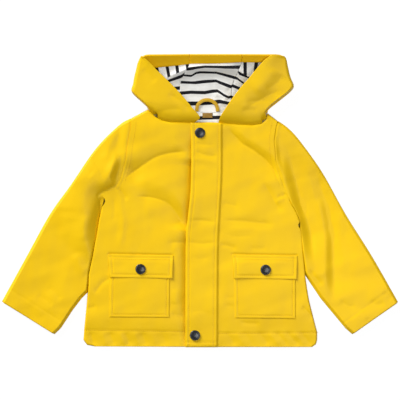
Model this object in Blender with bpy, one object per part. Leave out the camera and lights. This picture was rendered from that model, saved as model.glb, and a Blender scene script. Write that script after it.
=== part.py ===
"""Toddler's rain coat, laid flat on its back with the hood open.

Every cloth piece is a wall built on its outer face: a grid is laid between the
piece's cut edges, lifted to the height of the cloth and thickened inwards.
X runs across the coat, Y from hem to hood, Z up from the surface it lies on.
"Right" and "left" are the wearer's, so the right half has negative X.
Sizes and places are in millimetres; MM turns them to metres.
"""
import math

import bmesh
import bpy
import numpy as np
from mathutils import Vector

MM = 0.001

# Cloth: thickness of each wall, and the gap left where two pieces are sewn.
BODY_WALL = 2.4
SLEEVE_WALL = 2.0
HOOD_WALL = 1.4
LINING_WALL = 1.0
FLAP_WALL = 1.6
POCKET_WALL = 1.4
SEAM_GAP = 0.3
LAY_GAP = 0.4

# Heights of the outer faces above the surface.
BODY_TOP = 8.0
BODY_EDGE = 4.9
NECK_RISE = 1.6
HEM_DROP = 1.2
SLEEVE_TOP = 8.0
SLEEVE_NOSE = 2.8

# Widths over which a folded edge rounds up to full height.
BODY_ROUND = 13.0
SLEEVE_OUTER_ROUND = 14.0
SLEEVE_INNER_ROUND = 30.0

NECK_LINE = 126.0
HEM_LINE = -234.4
CENTRE_FRONT = 22.0
SNAP_RADIUS = 8.2
SNAP_HEIGHT = 2.6

# Cut edges, as X, Y: the side from the hem up, the underarm to the armpit,
# the armhole up to the shoulder, and the neck from there to the centre front.
SIDE = {
    "right": [(-170, -233), (-181, -231), (-187, -223), (-186, -207), (-182, -167),
              (-177, -119), (-172, -95), (-166, -63), (-161, -31), (-158, -15),
              (-159, 9)],
    "left": [(180, -234), (186, -230), (188, -223), (188, -210), (183, -191),
             (175, -159), (167, -119), (164, -87), (161, -55), (159, -34),
             (153, -18), (142, 1)],
}
UNDERARM = {
    "right": [(-159, 9), (-134, 23)],
    "left": [(142, 1), (134, 23)],
}
ARMHOLE = {
    "right": [(-134, 23), (-127, 36), (-119, 65), (-116, 89), (-111, 116), (-110, 133)],
    "left": [(134, 23), (126, 46), (121, 65), (118, 97), (121, 116), (124, 129)],
}
SHOULDER = {
    "right": [(-110, 133), (-84, 147)],
    "left": [(124, 129), (108.5, 141)],
}
NECK = {
    "right": [(-84, 147), (-79, 142.8), (-71.5, 134.5), (-60, 128.5), (-47, 125.6),
              (CENTRE_FRONT, 125.6)],
    "left": [(108.5, 141), (105.8, 130), (98.3, 123.6), (84, 121), (62, 122.2),
             (36, 124.7), (CENTRE_FRONT, 125.6)],
}
BACK_NECK = [(-84, 147), (-76, 142), (-31, 141.2), (50, 141.2), (96, 137.4), (104, 136),
             (108.5, 141)]
# Grid rows on the side, the underarm and the armhole.
SIDE_ROWS, UNDERARM_ROWS, ARMHOLE_ROWS = 12, 2, 8
PANEL_ROWS = SIDE_ROWS + UNDERARM_ROWS + ARMHOLE_ROWS

SLEEVE_OUTER = {
    "right": [(-110, 133), (-130, 121), (-167, 84), (-207, 26), (-241, -22),
              (-278, -89), (-317.6, -161)],
    "left": [(124, 129), (142, 116), (162, 94), (196, 46), (234, -22),
             (276, -89), (317.6, -162)],
}
SLEEVE_UNDERARM = {
    "right": [(-135, 22), (-160.5, 8)],
    "left": [(135, 22), (143.5, 0)],
}
SLEEVE_INNER = {
    "right": [(-160.5, 8), (-159.5, -15), (-162.5, -31), (-167.5, -63),
              (-173.5, -95), (-178.5, -119), (-183, -143), (-223, -204), (-233, -213.6)],
    "left": [(143.5, 0), (154.5, -19), (160.5, -34), (162.5, -55),
             (165.5, -87), (168.5, -119), (193, -156), (233, -204), (244, -213.6)],
}

# Main folds, as a start, a bend and an end, each X, Y; half width; height,
# which is negative for a trough.
FRONT_FOLDS = [
    ((-116, 39), (-79, 70), (-24, 79), 11, -2.4),
    ((-119, 65), (-87, 92), (-26, 100), 15, 1.6),
    ((-118, 6), (-63, 4), (-27, -41), 10, -1.8),
    ((-95, -23), (-55, -34), (-32, -63), 13, 1.0),
    ((49, 110), (89, 81), (130, 24), 11, -2.4),
    ((44, 81), (73, 57), (105, 17), 17, 1.6),
]
SLEEVE_FOLDS = {
    "right": [
        ((-129, 84), (-140, 55), (-143, 33), 7, -1.6),
        ((-166, 68), (-152, 49), (-142, 30), 9, 1.8),
        ((-205, 0), (-215, -70), (-250, -130), 18, 0.9),
    ],
    "left": [
        ((196, -7), (207, -71), (202, -159), 9, -1.8),
        ((158, 75), (174, 9), (182, -63), 13, 1.8),
        ((225, 0), (243, -70), (270, -130), 18, 0.9),
    ],
}

HOOD_FOLDS = {
    "right": [
        ((-66, 137), (-45, 141), (-14, 140), 6, 1.4),
        ((-76, 148), (-60, 158), (-30, 156), 9, -1.6),
        ((-98, 180), (-80, 184), (-60, 178), 12, 1.2),
    ],
    "left": [
        ((118, 214), (110, 196), (84, 172), 12, 1.6),
        ((132, 178), (108, 170), (72, 148), 9, -1.6),
        ((100, 136), (80, 138), (48, 140), 7, 1.4),
    ],
}

# Hood side panels, a row for each section from the neck to the forehead edge:
# share of the way, front edge X, Y, Z, outer fold X, Y, height of the fold's
# top, centre seam X, Y, width over which the fold rolls under. The front edge
# is free; the seam joins the centre piece.
HOOD_ROWS = {
    "right": [
        (0.00, -9, 126.1, 10.5, -78.5, 145, 9.6, -31, 142, 6),
        (0.08, -1, 133, 11.5, -82, 149, 10.5, -32, 150, 6),
        (0.20, -14, 150, 13.5, -92, 157, 12.0, -32, 159, 6),
        (0.35, -28, 167, 16.0, -109, 174, 13.5, -32, 170, 6),
        (0.50, -42, 182, 19.0, -107, 188, 15.0, -32, 182, 6),
        (0.62, -53, 193, 21.0, -105, 199, 16.5, -30, 193, 6),
        (0.70, -60, 200, 22.5, -103, 207, 18.0, -26, 202, 6),
        (0.76, -66, 205.5, 24.0, -101.5, 213, 19.0, -22, 209, 6),
        (0.82, -71, 210.5, 25.5, -100, 219, 21.0, -18, 216, 6),
        (0.88, -76, 216, 26.5, -98, 224, 23.5, -16.5, 222, 6),
        (0.94, -81, 221.5, 27.5, -96, 228, 26.0, -16, 228, 6),
        (1.00, -86, 227, 28.0, -94, 231, 28.0, -16, 234.4, 6),
    ],
    "left": [
        (0.00, 30, 126.1, 10.5, 106.5, 139.5, 9.6, 50, 142, 6),
        (0.08, 34, 136, 11.5, 109.5, 145.5, 10.5, 50, 150, 9),
        (0.20, 44, 152, 13.5, 123, 157, 12.5, 50, 159, 15),
        (0.35, 56, 169, 16.0, 145, 175, 13.5, 50, 170, 13),
        (0.50, 68, 184, 19.0, 150, 185, 15.5, 51, 182, 7),
        (0.62, 79, 196, 21.0, 145.5, 196, 17.0, 54, 193, 6),
        (0.70, 86, 205, 22.5, 143, 204, 18.5, 58, 202, 6),
        (0.76, 92, 212, 24.0, 141.5, 211, 20.0, 61, 209, 6),
        (0.82, 98, 219, 25.5, 140, 217, 22.0, 64, 216, 6),
        (0.88, 104, 225, 26.5, 139, 222, 24.0, 66, 222, 6),
        (0.94, 110, 229.5, 27.5, 137.5, 227, 26.0, 67, 228, 6),
        (1.00, 116, 232.5, 28.0, 135, 230.5, 28.0, 67, 234.4, 6),
    ],
}
# Height of the hood's floor, where it climbs to the forehead edge.
HOOD_CLIMB = [(0.00, 0.0), (0.62, 0.0), (0.70, 1.0), (0.76, 3.0), (0.82, 7.0),
              (0.88, 11.5), (0.94, 16.5), (1.00, 22.0)]
HOOD_NECK = {
    "right": [(-9, 126.1), (-47, 126.1), (-60, 129.2), (-70.8, 135.4), (-78.5, 145)],
    "left": [(30, 126.1), (36, 125.3), (62, 122.8), (84, 121.6), (97.8, 124.2),
             (104.8, 130.6), (106.5, 139.5)],
}
FOREHEAD = {
    "right": [(-94, 231), (-90, 233.6), (-84, 234.4), (-16, 234.4)],
    "left": [(135, 230.5), (131, 232.8), (124, 233.8), (67, 234.4)],
}
FACING_START = 0.80
LINING_FOLD = [((-62, 196), (-23, 216), (20, 213), 7, 6.5),
               ((20, 213), (60, 214), (84, 197), 7, 6.5)]

# Storm flap's two edges, and each pocket and pocket flap by its corners:
# low near side seam, low near centre, high near centre, high near side seam.
FLAP_FREE_EDGE = [(-23, HEM_LINE), (-23, -71), (-20, -31), (-15, 17), (-14, 73), (-15, 125.6)]
FLAP_SEAM = [(29, HEM_LINE), (30, -79), (33, -15), (36, 49), (36, 125.6)]
FLAP_TOP = (125.2, 124.0)
POCKETS = {
    "right": [(-143, -186), (-49, -186), (-49, -92), (-144, -92)],
    "left": [(153, -188), (56, -188), (56, -94), (153, -94)],
}
POCKET_FLAPS = {
    "right": [(-145, -122), (-44, -122), (-42, -87), (-147, -85)],
    "left": [(154, -124), (54, -124), (52, -87), (156, -88)],
}
SNAPS = {
    "snap_top": (0, 109),
    "snap_bottom": (-8, -215),
    "snap_pocket_right": (-95, -109),
    "snap_pocket_left": (105, -110),
}
LOOP_PATH = [(-7, 143.5), (-5, 153), (3, 160.5), (12, 162.5), (21, 160.5), (28, 153), (30, 143.5)]
LOOP_WIDTH = 5.6
LOOP_THICKNESS = 2.2
LABEL = (4, 20, 133.5, 140.5)
LABEL_WALL = 0.8
NECK_LINING = (-50, 76, 104, 140.5)

YELLOW = ("#f5c81e", 0.45, 0.0)
JERSEY = ("#f1f1ea", 0.9, 0.0)
TAPE = ("#c8a05a", 0.8, 0.0)
DARK_METAL = ("#23262b", 0.35, 0.8)


def linear(code):
    """Linear colour of an sRGB hex code."""
    parts = [int(code[at:at + 2], 16) / 255.0 for at in (1, 3, 5)]
    return [part / 12.92 if part <= 0.04045 else ((part + 0.055) / 1.055) ** 2.4
            for part in parts] + [1.0]


class Path:
    """A line through a few points, read by its share of the length."""

    def __init__(self, points):
        self.points = np.array(points, float)
        steps = np.linalg.norm(np.diff(self.points, axis=0), axis=1)
        self.shares = np.concatenate(([0.0], np.cumsum(steps))) / steps.sum()

    def at(self, share):
        return np.array([np.interp(share, self.shares, self.points[:, axis])
                         for axis in range(self.points.shape[1])])

    def distance(self, spot):
        starts = self.points[:-1]
        runs = self.points[1:] - starts
        reach = ((spot - starts) * runs).sum(axis=1) / (runs * runs).sum(axis=1)
        nearest = starts + runs * np.clip(reach, 0.0, 1.0)[:, None]
        return np.linalg.norm(nearest - spot, axis=1).min()


def smooth_path(points, steps=4):
    """A path rounded through its points by a Catmull-Rom curve."""
    spots = np.array(points, float)
    ends = np.vstack((2 * spots[0] - spots[1], spots, 2 * spots[-1] - spots[-2]))
    curve = []
    for first in range(len(spots) - 1):
        a, b, c, d = ends[first:first + 4]
        for step in range(steps):
            t = step / steps
            curve.append(0.5 * (2 * b + (c - a) * t + (2 * a - 5 * b + 4 * c - d) * t ** 2
                                + (3 * b - a - 3 * c + d) * t ** 3))
    curve.append(spots[-1])
    return Path(curve)


def rounded(distance, radius):
    """Share of full height at a distance in from a folded edge."""
    reach = min(max(distance / radius, 0.0), 1.0)
    return math.sqrt(1.0 - (1.0 - reach) ** 2)


class Fold:
    """A soft trough or ridge along a bent line, fading at both ends."""

    def __init__(self, start, bend, end, half_width, height):
        start, bend, end = (np.array(spot, float) for spot in (start, bend, end))
        shares = np.linspace(0.0, 1.0, 13)[:, None]
        self.spots = ((1 - shares) ** 2 * start + 2 * shares * (1 - shares) * bend
                      + shares ** 2 * end)
        self.fade = np.sqrt(np.sin(np.pi * shares[:, 0]))
        self.half_width = half_width
        self.height = height

    def at(self, spot):
        away = np.linalg.norm(self.spots - spot, axis=1) / self.half_width
        return self.height * (np.exp(-away ** 2) * self.fade).max()


FRONT_FOLD_SHAPES = [Fold(*row) for row in FRONT_FOLDS]
SLEEVE_FOLD_SHAPES = {side: [Fold(*row) for row in rows] for side, rows in SLEEVE_FOLDS.items()}
HOOD_FOLD_SHAPES = {side: [Fold(*row) for row in rows] for side, rows in HOOD_FOLDS.items()}
LINING_FOLD_SHAPES = [Fold(*row) for row in LINING_FOLD]
FOLDED_EDGES = [Path(edges[side]) for edges in (SIDE, UNDERARM, SHOULDER)
                for side in ("right", "left")]


def front_height(x, y):
    """Height of the front panels' outer face."""
    spot = np.array((x, y), float)
    edge = min(path.distance(spot) for path in FOLDED_EDGES)
    level = BODY_TOP
    level += NECK_RISE * math.exp(-((NECK_LINE - y) / 22.0) ** 2)
    level -= HEM_DROP * math.exp(-((y - HEM_LINE) / 14.0) ** 2)
    level += sum(fold.at(spot) for fold in FRONT_FOLD_SHAPES)
    return BODY_EDGE + (level - BODY_EDGE) * rounded(edge, BODY_ROUND)


def coons(bottom, top, start, end):
    """Spot inside four edges, from its shares across and along."""
    corner_a, corner_b = bottom.at(0.0), bottom.at(1.0)
    corner_c, corner_d = top.at(0.0), top.at(1.0)

    def spot(across, along):
        ruled = (1 - along) * bottom.at(across) + along * top.at(across)
        ruled = ruled + (1 - across) * start.at(along) + across * end.at(along)
        flat = (1 - along) * ((1 - across) * corner_a + across * corner_b)
        flat = flat + along * ((1 - across) * corner_c + across * corner_d)
        return ruled - flat

    return spot


def joined(*runs):
    """One path from runs that follow each other."""
    points = list(runs[0])
    for run in runs[1:]:
        points.extend(run[1:])
    return Path(points)


def moved_out(place, distance):
    """The same surface, moved along its normal."""
    step = 0.004

    def spot(across, along):
        u0, u1 = max(across - step, 0.0), min(across + step, 1.0)
        v0, v1 = max(along - step, 0.0), min(along + step, 1.0)
        run_u = np.array(place(u1, along)) - np.array(place(u0, along))
        run_v = np.array(place(across, v1)) - np.array(place(across, v0))
        normal = np.cross(run_u, run_v)
        if normal[2] < 0.0:
            normal = -normal
        return np.array(place(across, along)) + normal / np.linalg.norm(normal) * distance

    return spot


def add_piece(name, bm, finish):
    """Put a mesh in the scene with its own plain material."""
    mesh = bpy.data.meshes.new(name)
    bm.to_mesh(mesh)
    bm.free()
    mesh.shade_smooth()
    piece = bpy.data.objects.new(name, mesh)
    bpy.context.scene.collection.objects.link(piece)
    code, roughness, metallic = finish
    material = bpy.data.materials.new(name)
    material.use_nodes = True
    shader = material.node_tree.nodes["Principled BSDF"]
    shader.inputs["Base Color"].default_value = linear(code)
    shader.inputs["Roughness"].default_value = roughness
    shader.inputs["Metallic"].default_value = metallic
    mesh.materials.append(material)
    return piece


def grid_mesh(columns, rows, place):
    """A grid whose corners are moved to their places."""
    bm = bmesh.new()
    bmesh.ops.create_grid(bm, x_segments=columns, y_segments=rows, size=1.0)
    for vert in bm.verts:
        across = (vert.co.x + 1.0) / 2.0
        along = (vert.co.y + 1.0) / 2.0
        vert.co = Vector(place(across, along)) * MM
    return bm


def cloth(name, columns, rows, place, wall, finish, outside="up", tube=False):
    """A wall of cloth, thickened inwards from its outer face."""
    bm = grid_mesh(columns, rows, place)
    if tube:
        bmesh.ops.remove_doubles(bm, verts=bm.verts, dist=0.01 * MM)
    bm.normal_update()
    centre = sum((vert.co for vert in bm.verts), Vector()) / len(bm.verts)
    facing = 0.0
    for face in bm.faces:
        if outside == "out":
            facing += face.normal.dot(face.calc_center_median() - centre) * face.calc_area()
        else:
            facing += face.normal.z * face.calc_area()
    if (facing < 0.0) != (outside == "down"):
        bmesh.ops.reverse_faces(bm, faces=bm.faces)
    piece = add_piece(name, bm, finish)
    solid = piece.modifiers.new("Wall", "SOLIDIFY")
    solid.thickness = wall * MM
    solid.offset = -1.0
    solid.use_quality_normals = True
    return piece


class Runs:
    """Paths that follow each other, each with its own number of grid rows."""

    def __init__(self, *runs):
        self.paths = [Path(points) for points, _ in runs]
        self.stops = np.cumsum([0] + [rows for _, rows in runs])

    def at(self, share):
        row = share * self.stops[-1]
        place = min(np.searchsorted(self.stops, row + 1e-6, side="right") - 1,
                    len(self.paths) - 1)
        begin, finish = self.stops[place], self.stops[place + 1]
        return self.paths[place].at((row - begin) / (finish - begin))


def side_edge(side):
    """A body panel's outer edge, from the hem to the shoulder."""
    return Runs((SIDE[side], SIDE_ROWS), (UNDERARM[side], UNDERARM_ROWS),
                (ARMHOLE[side], ARMHOLE_ROWS))


def front(side, columns=17):
    """A front panel, from its side seam and armhole to the centre front."""
    direction = 1 if side == "right" else -1
    centre = CENTRE_FRONT - direction * SEAM_GAP / 2
    neck = [spot if spot[0] != CENTRE_FRONT else (centre, spot[1]) for spot in NECK[side]]
    hem_side = SIDE[side][0]
    spot = coons(
        Path([hem_side, (centre, HEM_LINE + 1.0)]),
        joined(SHOULDER[side], neck),
        side_edge(side),
        Path([(centre, HEM_LINE + 1.0), neck[-1]]),
    )

    def place(across, along):
        x, y = spot(across ** 1.45, along)
        return x, y, front_height(x, y)

    cloth("front_" + side, columns, PANEL_ROWS, place, BODY_WALL, YELLOW)


def back():
    """The back panel, flat on the surface, as wide as the fronts."""
    top = joined(SHOULDER["right"], BACK_NECK, SHOULDER["left"][::-1])
    bottom = Path([SIDE["right"][0], SIDE["left"][0]])
    spot = coons(bottom, top, side_edge("right"), side_edge("left"))
    cloth("back", 14, PANEL_ROWS, lambda across, along: (*spot(across, along), 0.0),
          BODY_WALL, YELLOW, outside="down")


def sleeve_ring(width):
    """Distance in from the outer edge and height round one section.

    The third value tells the free upper face from the rest.
    """
    nose = SLEEVE_NOSE
    inner = width - nose
    ring = [(nose + (inner - nose) * step / 5, 0.0, False) for step in range(6)]
    for turn in (-45, 0, 45):
        angle = math.radians(turn)
        ring.append((inner + nose * math.cos(angle), nose + nose * math.sin(angle), False))
    ring += [(inner - (inner - nose) * step / 12, 2 * nose, True) for step in range(13)]
    for turn in (45, 0, -45):
        angle = math.radians(turn)
        ring.append((nose - nose * math.cos(angle), nose + nose * math.sin(angle), False))
    return ring


RING_COUNT = len(sleeve_ring(100.0))


def sleeve(side, rows=17):
    """A set-in sleeve pressed flat: a tube from the armhole to the cuff."""
    outer = smooth_path(SLEEVE_OUTER[side])
    inner = Runs((SLEEVE_UNDERARM[side], UNDERARM_ROWS),
                 (SLEEVE_INNER[side], rows - UNDERARM_ROWS))
    hole = Path(ARMHOLE[side][::-1])
    seam_shift = -1.0 if side == "right" else 0.8

    def place(around, along):
        share = float(np.interp(along, (0.0, UNDERARM_ROWS / rows, 1.0), (0.0, 0.1, 1.0)))
        start, end = outer.at(share), inner.at(along)
        width = np.linalg.norm(end - start)
        ring = sleeve_ring(width)
        distance, level, upper = ring[round(around * RING_COUNT) % RING_COUNT]
        reach = distance / width
        near_hole = max(0.0, 1.0 - share / 0.22) ** 2
        bow = hole.at(reach) - (hole.at(0.0) * (1 - reach) + hole.at(1.0) * reach)
        bow = bow + (seam_shift, 0.0)
        x, y = start + (end - start) * reach + bow * near_hole
        if upper:
            shape = rounded(distance - SLEEVE_NOSE, SLEEVE_OUTER_ROUND)
            shape *= rounded(width - SLEEVE_NOSE - distance, SLEEVE_INNER_ROUND)
            lift = SLEEVE_TOP - level
            lift += sum(fold.at(np.array((x, y))) for fold in SLEEVE_FOLD_SHAPES[side])
            level += lift * shape
        return x, y, level

    cloth("sleeve_" + side, RING_COUNT, rows, place, SLEEVE_WALL, YELLOW,
          outside="out", tube=True)


HOOD_SHARES = [row[0] for row in HOOD_ROWS["right"]]
WING_STEPS = 9
ROLL_STEPS = 5
FLOOR_STEPS = 6


def hood_share(along):
    """Share of the way up the hood at a grid row."""
    rows = len(HOOD_SHARES) - 1
    return float(np.interp(along * rows, range(rows + 1), HOOD_SHARES))


def hood_section(side, share):
    """Front edge, fold, seam, floor and roll of one section of a side panel."""
    table = np.array(HOOD_ROWS[side], float)
    values = [np.interp(share, table[:, 0], table[:, column]) for column in range(1, 10)]
    climb = np.array(HOOD_CLIMB)
    floor = np.interp(share, climb[:, 0], climb[:, 1])
    edge, fold, seam = np.array(values[0:2]), np.array(values[3:5]), np.array(values[6:8])
    roll = min(values[8], max((values[5] - floor) / 2, 0.6 * values[8] - 3.0),
               0.45 * np.linalg.norm(edge - fold))
    return edge, values[2], fold, values[5], seam, floor, roll


def bow(path, reach):
    """How far a path leaves the straight line between its ends."""
    return path.at(reach) - (path.at(0.0) * (1 - reach) + path.at(1.0) * reach)


def hood_floor(side):
    """The part of a side panel that lies below, from its fold to the seam."""
    forehead = Path(FOREHEAD[side])
    gap = SEAM_GAP / 2 if side == "left" else -SEAM_GAP / 2

    def place(across, along):
        share = hood_share(along)
        edge, _, fold, _, seam, floor, roll = hood_section(side, share)
        start = fold + (edge - fold) / np.linalg.norm(edge - fold) * roll
        near_edge = max(0.0, (share - 0.7) / 0.3) ** 2
        x, y = start + (seam + (gap, 0.0) - start) * across + bow(forehead, across) * near_edge
        return x, y, floor

    return place


def hood_side(side):
    """A side panel: its wing lies over, rolls at the fold and runs under."""
    neck = Path(HOOD_NECK[side])
    floor_place = hood_floor(side)
    steps = WING_STEPS + ROLL_STEPS + FLOOR_STEPS

    def place(across, along):
        step = round(across * steps)
        share = hood_share(along)
        edge, edge_height, fold, top, _, floor, roll = hood_section(side, share)
        inward = (edge - fold) / np.linalg.norm(edge - fold)
        if step <= WING_STEPS:
            reach = step / WING_STEPS
            end = fold + inward * roll
            near_neck = max(0.0, 1.0 - share / 0.3) ** 2
            x, y = edge + (end - edge) * reach + bow(neck, reach) * near_neck
            ease = reach * reach * (3 - 2 * reach)
            lift = sum(fold.at(np.array((x, y))) for fold in HOOD_FOLD_SHAPES[side])
            return x, y, edge_height + (top - edge_height) * ease + lift * (1 - reach ** 6)
        if step < WING_STEPS + ROLL_STEPS:
            angle = math.pi / 2 - math.pi * (step - WING_STEPS) / ROLL_STEPS
            x, y = fold + inward * roll * (1 - math.cos(angle))
            return x, y, (top + floor) / 2 + (top - floor) / 2 * math.sin(angle)
        reach = (step - WING_STEPS - ROLL_STEPS) / FLOOR_STEPS
        return floor_place(reach, along)

    cloth("hood_" + side, steps, len(HOOD_SHARES) - 1, place, HOOD_WALL, YELLOW, outside="out")


def hood_centre_place(across, along):
    """The hood's centre piece, between the two seams."""
    share = hood_share(along)
    right, left = hood_section("right", share), hood_section("left", share)
    gap = np.array((SEAM_GAP / 2, 0.0))
    x, y = (right[4] + gap) * (1 - across) + (left[4] - gap) * across
    return x, y, right[5]


def part_of(place, across_range, along_range):
    """A smaller stretch of a surface, by its shares."""
    def spot(across, along):
        return place(across_range[0] + (across_range[1] - across_range[0]) * across,
                     along_range[0] + (along_range[1] - along_range[0]) * along)
    return spot


def row_share(share):
    """Grid share at which the hood reaches a share of the way up."""
    rows = len(HOOD_SHARES) - 1
    return float(np.interp(share, HOOD_SHARES, range(rows + 1))) / rows


def hood_inside(name, place, across_range, columns):
    """Lining and facing of one hood panel, inside its wall."""
    inner = moved_out(place, HOOD_WALL + SEAM_GAP + LINING_WALL)
    split = row_share(FACING_START)

    def folded(across, along):
        x, y, z = part_of(inner, across_range, (0.0, split))(across, along)
        return x, y, z + sum(fold.at(np.array((x, y))) for fold in LINING_FOLD_SHAPES)

    cloth("hood_lining_" + name, columns, 14, folded, LINING_WALL, JERSEY)
    facing = part_of(inner, (2.8 * across_range[0], 1.0), (split + 0.012, 1.0))
    cloth("hood_facing_" + name, columns, 5, facing, LINING_WALL, YELLOW)


def storm_flap():
    """The flap down the centre front, sewn to the left front."""
    free_edge, seam = Path(FLAP_FREE_EDGE), Path(FLAP_SEAM)

    def place(across, along):
        share = along
        x, y = free_edge.at(share) * (1 - across) + seam.at(share) * across
        top = FLAP_TOP[0] * (1 - across) + FLAP_TOP[1] * across
        y = HEM_LINE + (top - HEM_LINE) * share
        return x, y, front_height(x, y) + LAY_GAP + 0.1 + FLAP_WALL

    cloth("storm_flap", 6, 22, place, FLAP_WALL, YELLOW)


def panel_spot(corners):
    """Spot on a four-cornered piece, and how far in from its edges."""
    low_side, low_centre, high_centre, high_side = (np.array(spot, float) for spot in corners)

    def spot(across, along):
        low = low_side * (1 - across) + low_centre * across
        high = high_side * (1 - across) + high_centre * across
        return low * (1 - along) + high * along

    return spot


def pocket_lift(across, along):
    """Slight swell of the pocket's middle."""
    return 1.0 * math.sin(math.pi * across) * math.sin(math.pi * along) ** 0.7


def pocket(side):
    """A patch pocket that lies on its front panel, and the flap over it."""
    body, flap = panel_spot(POCKETS[side]), panel_spot(POCKET_FLAPS[side])
    top_line = POCKETS[side][2][1]
    lid = LAY_GAP + POCKET_WALL + LAY_GAP + POCKET_WALL + 1.0

    def place_body(across, along):
        x, y = body(across, along)
        lift = pocket_lift(across, along)
        return x, y, front_height(x, y) + LAY_GAP + POCKET_WALL + lift

    def place_flap(across, along):
        x, y = flap(across, along)
        over = min(max((top_line + 6.0 - y) / 5.0, 0.0), 1.0)
        base = LAY_GAP + POCKET_WALL
        return x, y, front_height(x, y) + base + (lid - base) * over

    cloth("pocket_" + side, 8, 8, place_body, POCKET_WALL, YELLOW)
    cloth("pocket_flap_" + side, 8, 8, place_flap, POCKET_WALL, YELLOW)


def cloth_patch(name, bounds, level, wall, finish, columns, rows):
    """A small flat piece that lies on another."""
    x0, x1, y0, y1 = bounds

    def place(across, along):
        return x0 + (x1 - x0) * across, y0 + (y1 - y0) * along, level + wall

    cloth(name, columns, rows, place, wall, finish)


def hanger_loop():
    """A narrow folded strap, arched over the hood's lining."""
    path = smooth_path(LOOP_PATH)
    floor = HOOD_WALL + SEAM_GAP + LINING_WALL + LAY_GAP

    def place(around, along):
        before, here, after = (path.at(min(max(along + step, 0.0), 1.0))
                               for step in (-0.02, 0.0, 0.02))
        run = (after - before) / np.linalg.norm(after - before)
        sideways = np.array((-run[1], run[0]))
        angle = 2 * math.pi * around
        x, y = here + sideways * LOOP_WIDTH / 2 * math.cos(angle)
        rise = 1.4 * math.sin(math.pi * along)
        return x, y, floor + rise + LOOP_THICKNESS / 2 * (1 + math.sin(angle))

    bm = grid_mesh(10, 18, place)
    bmesh.ops.remove_doubles(bm, verts=bm.verts, dist=0.01 * MM)
    bmesh.ops.holes_fill(bm, edges=bm.edges, sides=0)
    bmesh.ops.recalc_face_normals(bm, faces=bm.faces)
    add_piece("hanger_loop", bm, YELLOW)


def snap(name, x, y, level):
    """A press stud's domed cap."""
    profile = [(0.0, SNAP_HEIGHT), (0.55, SNAP_HEIGHT * 0.96), (0.85, SNAP_HEIGHT * 0.72),
               (1.0, SNAP_HEIGHT * 0.3), (1.0, 0.0), (0.0, 0.0)]
    bm = bmesh.new()
    verts = [bm.verts.new((share * SNAP_RADIUS * MM, 0.0, height * MM))
             for share, height in profile]
    for first, second in zip(verts, verts[1:]):
        bm.edges.new((first, second))
    bmesh.ops.spin(bm, geom=bm.verts[:] + bm.edges[:], cent=(0, 0, 0), axis=(0, 0, 1),
                   dvec=(0, 0, 0), angle=2 * math.pi, steps=20, use_merge=True)
    bmesh.ops.remove_doubles(bm, verts=bm.verts, dist=0.01 * MM)
    bmesh.ops.recalc_face_normals(bm, faces=bm.faces)
    bmesh.ops.translate(bm, verts=bm.verts, vec=Vector((x, y, level)) * MM)
    add_piece(name, bm, DARK_METAL)


def highest(place_height, x, y):
    """Highest cloth under a snap."""
    spots = [(x + SNAP_RADIUS * math.cos(turn), y + SNAP_RADIUS * math.sin(turn))
             for turn in np.linspace(0, 2 * math.pi, 12)]
    return max(place_height(*spot) for spot in spots + [(x, y)])


def main():
    for piece in list(bpy.data.objects):
        bpy.data.objects.remove(piece, do_unlink=True)
    back()
    for side in ("right", "left"):
        front(side)
        sleeve(side)
        hood_side(side)
        hood_inside(side, hood_floor(side), (0.06, 1.0), 6)
        pocket(side)
    cloth("hood_centre", 8, len(HOOD_SHARES) - 1, hood_centre_place, HOOD_WALL, YELLOW,
          outside="down")
    hood_inside("centre", hood_centre_place, (0.0, 1.0), 8)
    cloth_patch("neck_lining", NECK_LINING, BODY_WALL + SEAM_GAP, LINING_WALL, JERSEY, 4, 2)
    cloth_patch("label", LABEL, BODY_WALL + 2 * SEAM_GAP + LINING_WALL, LABEL_WALL, TAPE, 2, 1)
    hanger_loop()
    storm_flap()
    flap_top = LAY_GAP + 0.1 + FLAP_WALL + SEAM_GAP
    lid_top = 2 * LAY_GAP + 2 * POCKET_WALL + 1.0 + SEAM_GAP
    for name, (x, y) in SNAPS.items():
        on_top = lid_top if "pocket" in name else flap_top
        snap(name, x, y, highest(front_height, x, y) + on_top)


main()
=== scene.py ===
"""Toddler's rain coat, laid flat on its back with the hood open: the looks.

Each cloth piece is a thin shell on its solid's form, with the creases it has
where it lies. X runs across the coat, Y from hem to hood, Z up from the
surface. "Right" and "left" are the wearer's, so the right half has negative X.
Sizes and places are in millimetres; MM turns them to metres.
"""

import math

import bmesh
import bpy
import numpy as np
from mathutils import Matrix, Vector


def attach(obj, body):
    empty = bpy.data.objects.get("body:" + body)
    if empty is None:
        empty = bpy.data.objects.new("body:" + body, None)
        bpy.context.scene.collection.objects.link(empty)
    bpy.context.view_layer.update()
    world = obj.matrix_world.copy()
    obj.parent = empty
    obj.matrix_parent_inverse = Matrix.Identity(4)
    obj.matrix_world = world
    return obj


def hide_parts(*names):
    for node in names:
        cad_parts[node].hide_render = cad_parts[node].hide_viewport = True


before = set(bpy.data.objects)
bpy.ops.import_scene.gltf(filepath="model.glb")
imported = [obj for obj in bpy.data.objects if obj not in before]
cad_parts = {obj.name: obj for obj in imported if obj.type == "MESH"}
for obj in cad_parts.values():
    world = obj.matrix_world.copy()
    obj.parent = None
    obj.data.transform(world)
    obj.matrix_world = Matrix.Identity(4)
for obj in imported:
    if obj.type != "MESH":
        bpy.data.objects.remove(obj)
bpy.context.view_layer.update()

MM = 0.001
SIDES = ("right", "left")
OUT = {"right": -1, "left": 1}
WELD = 0.005 * MM

# Cloth thicknesses, and the room between pieces that lie on each other.
BODY_CLOTH = 0.8
HOOD_CLOTH = 0.8
FLAP_CLOTH = 1.2
LID_CLOTH = 0.7
JERSEY_CLOTH = 0.7
FACING_CLOTH = 0.7
TAPE_CLOTH = 0.7
STRAP_CLOTH = 0.5
SEAM_GAP = 0.04

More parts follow.
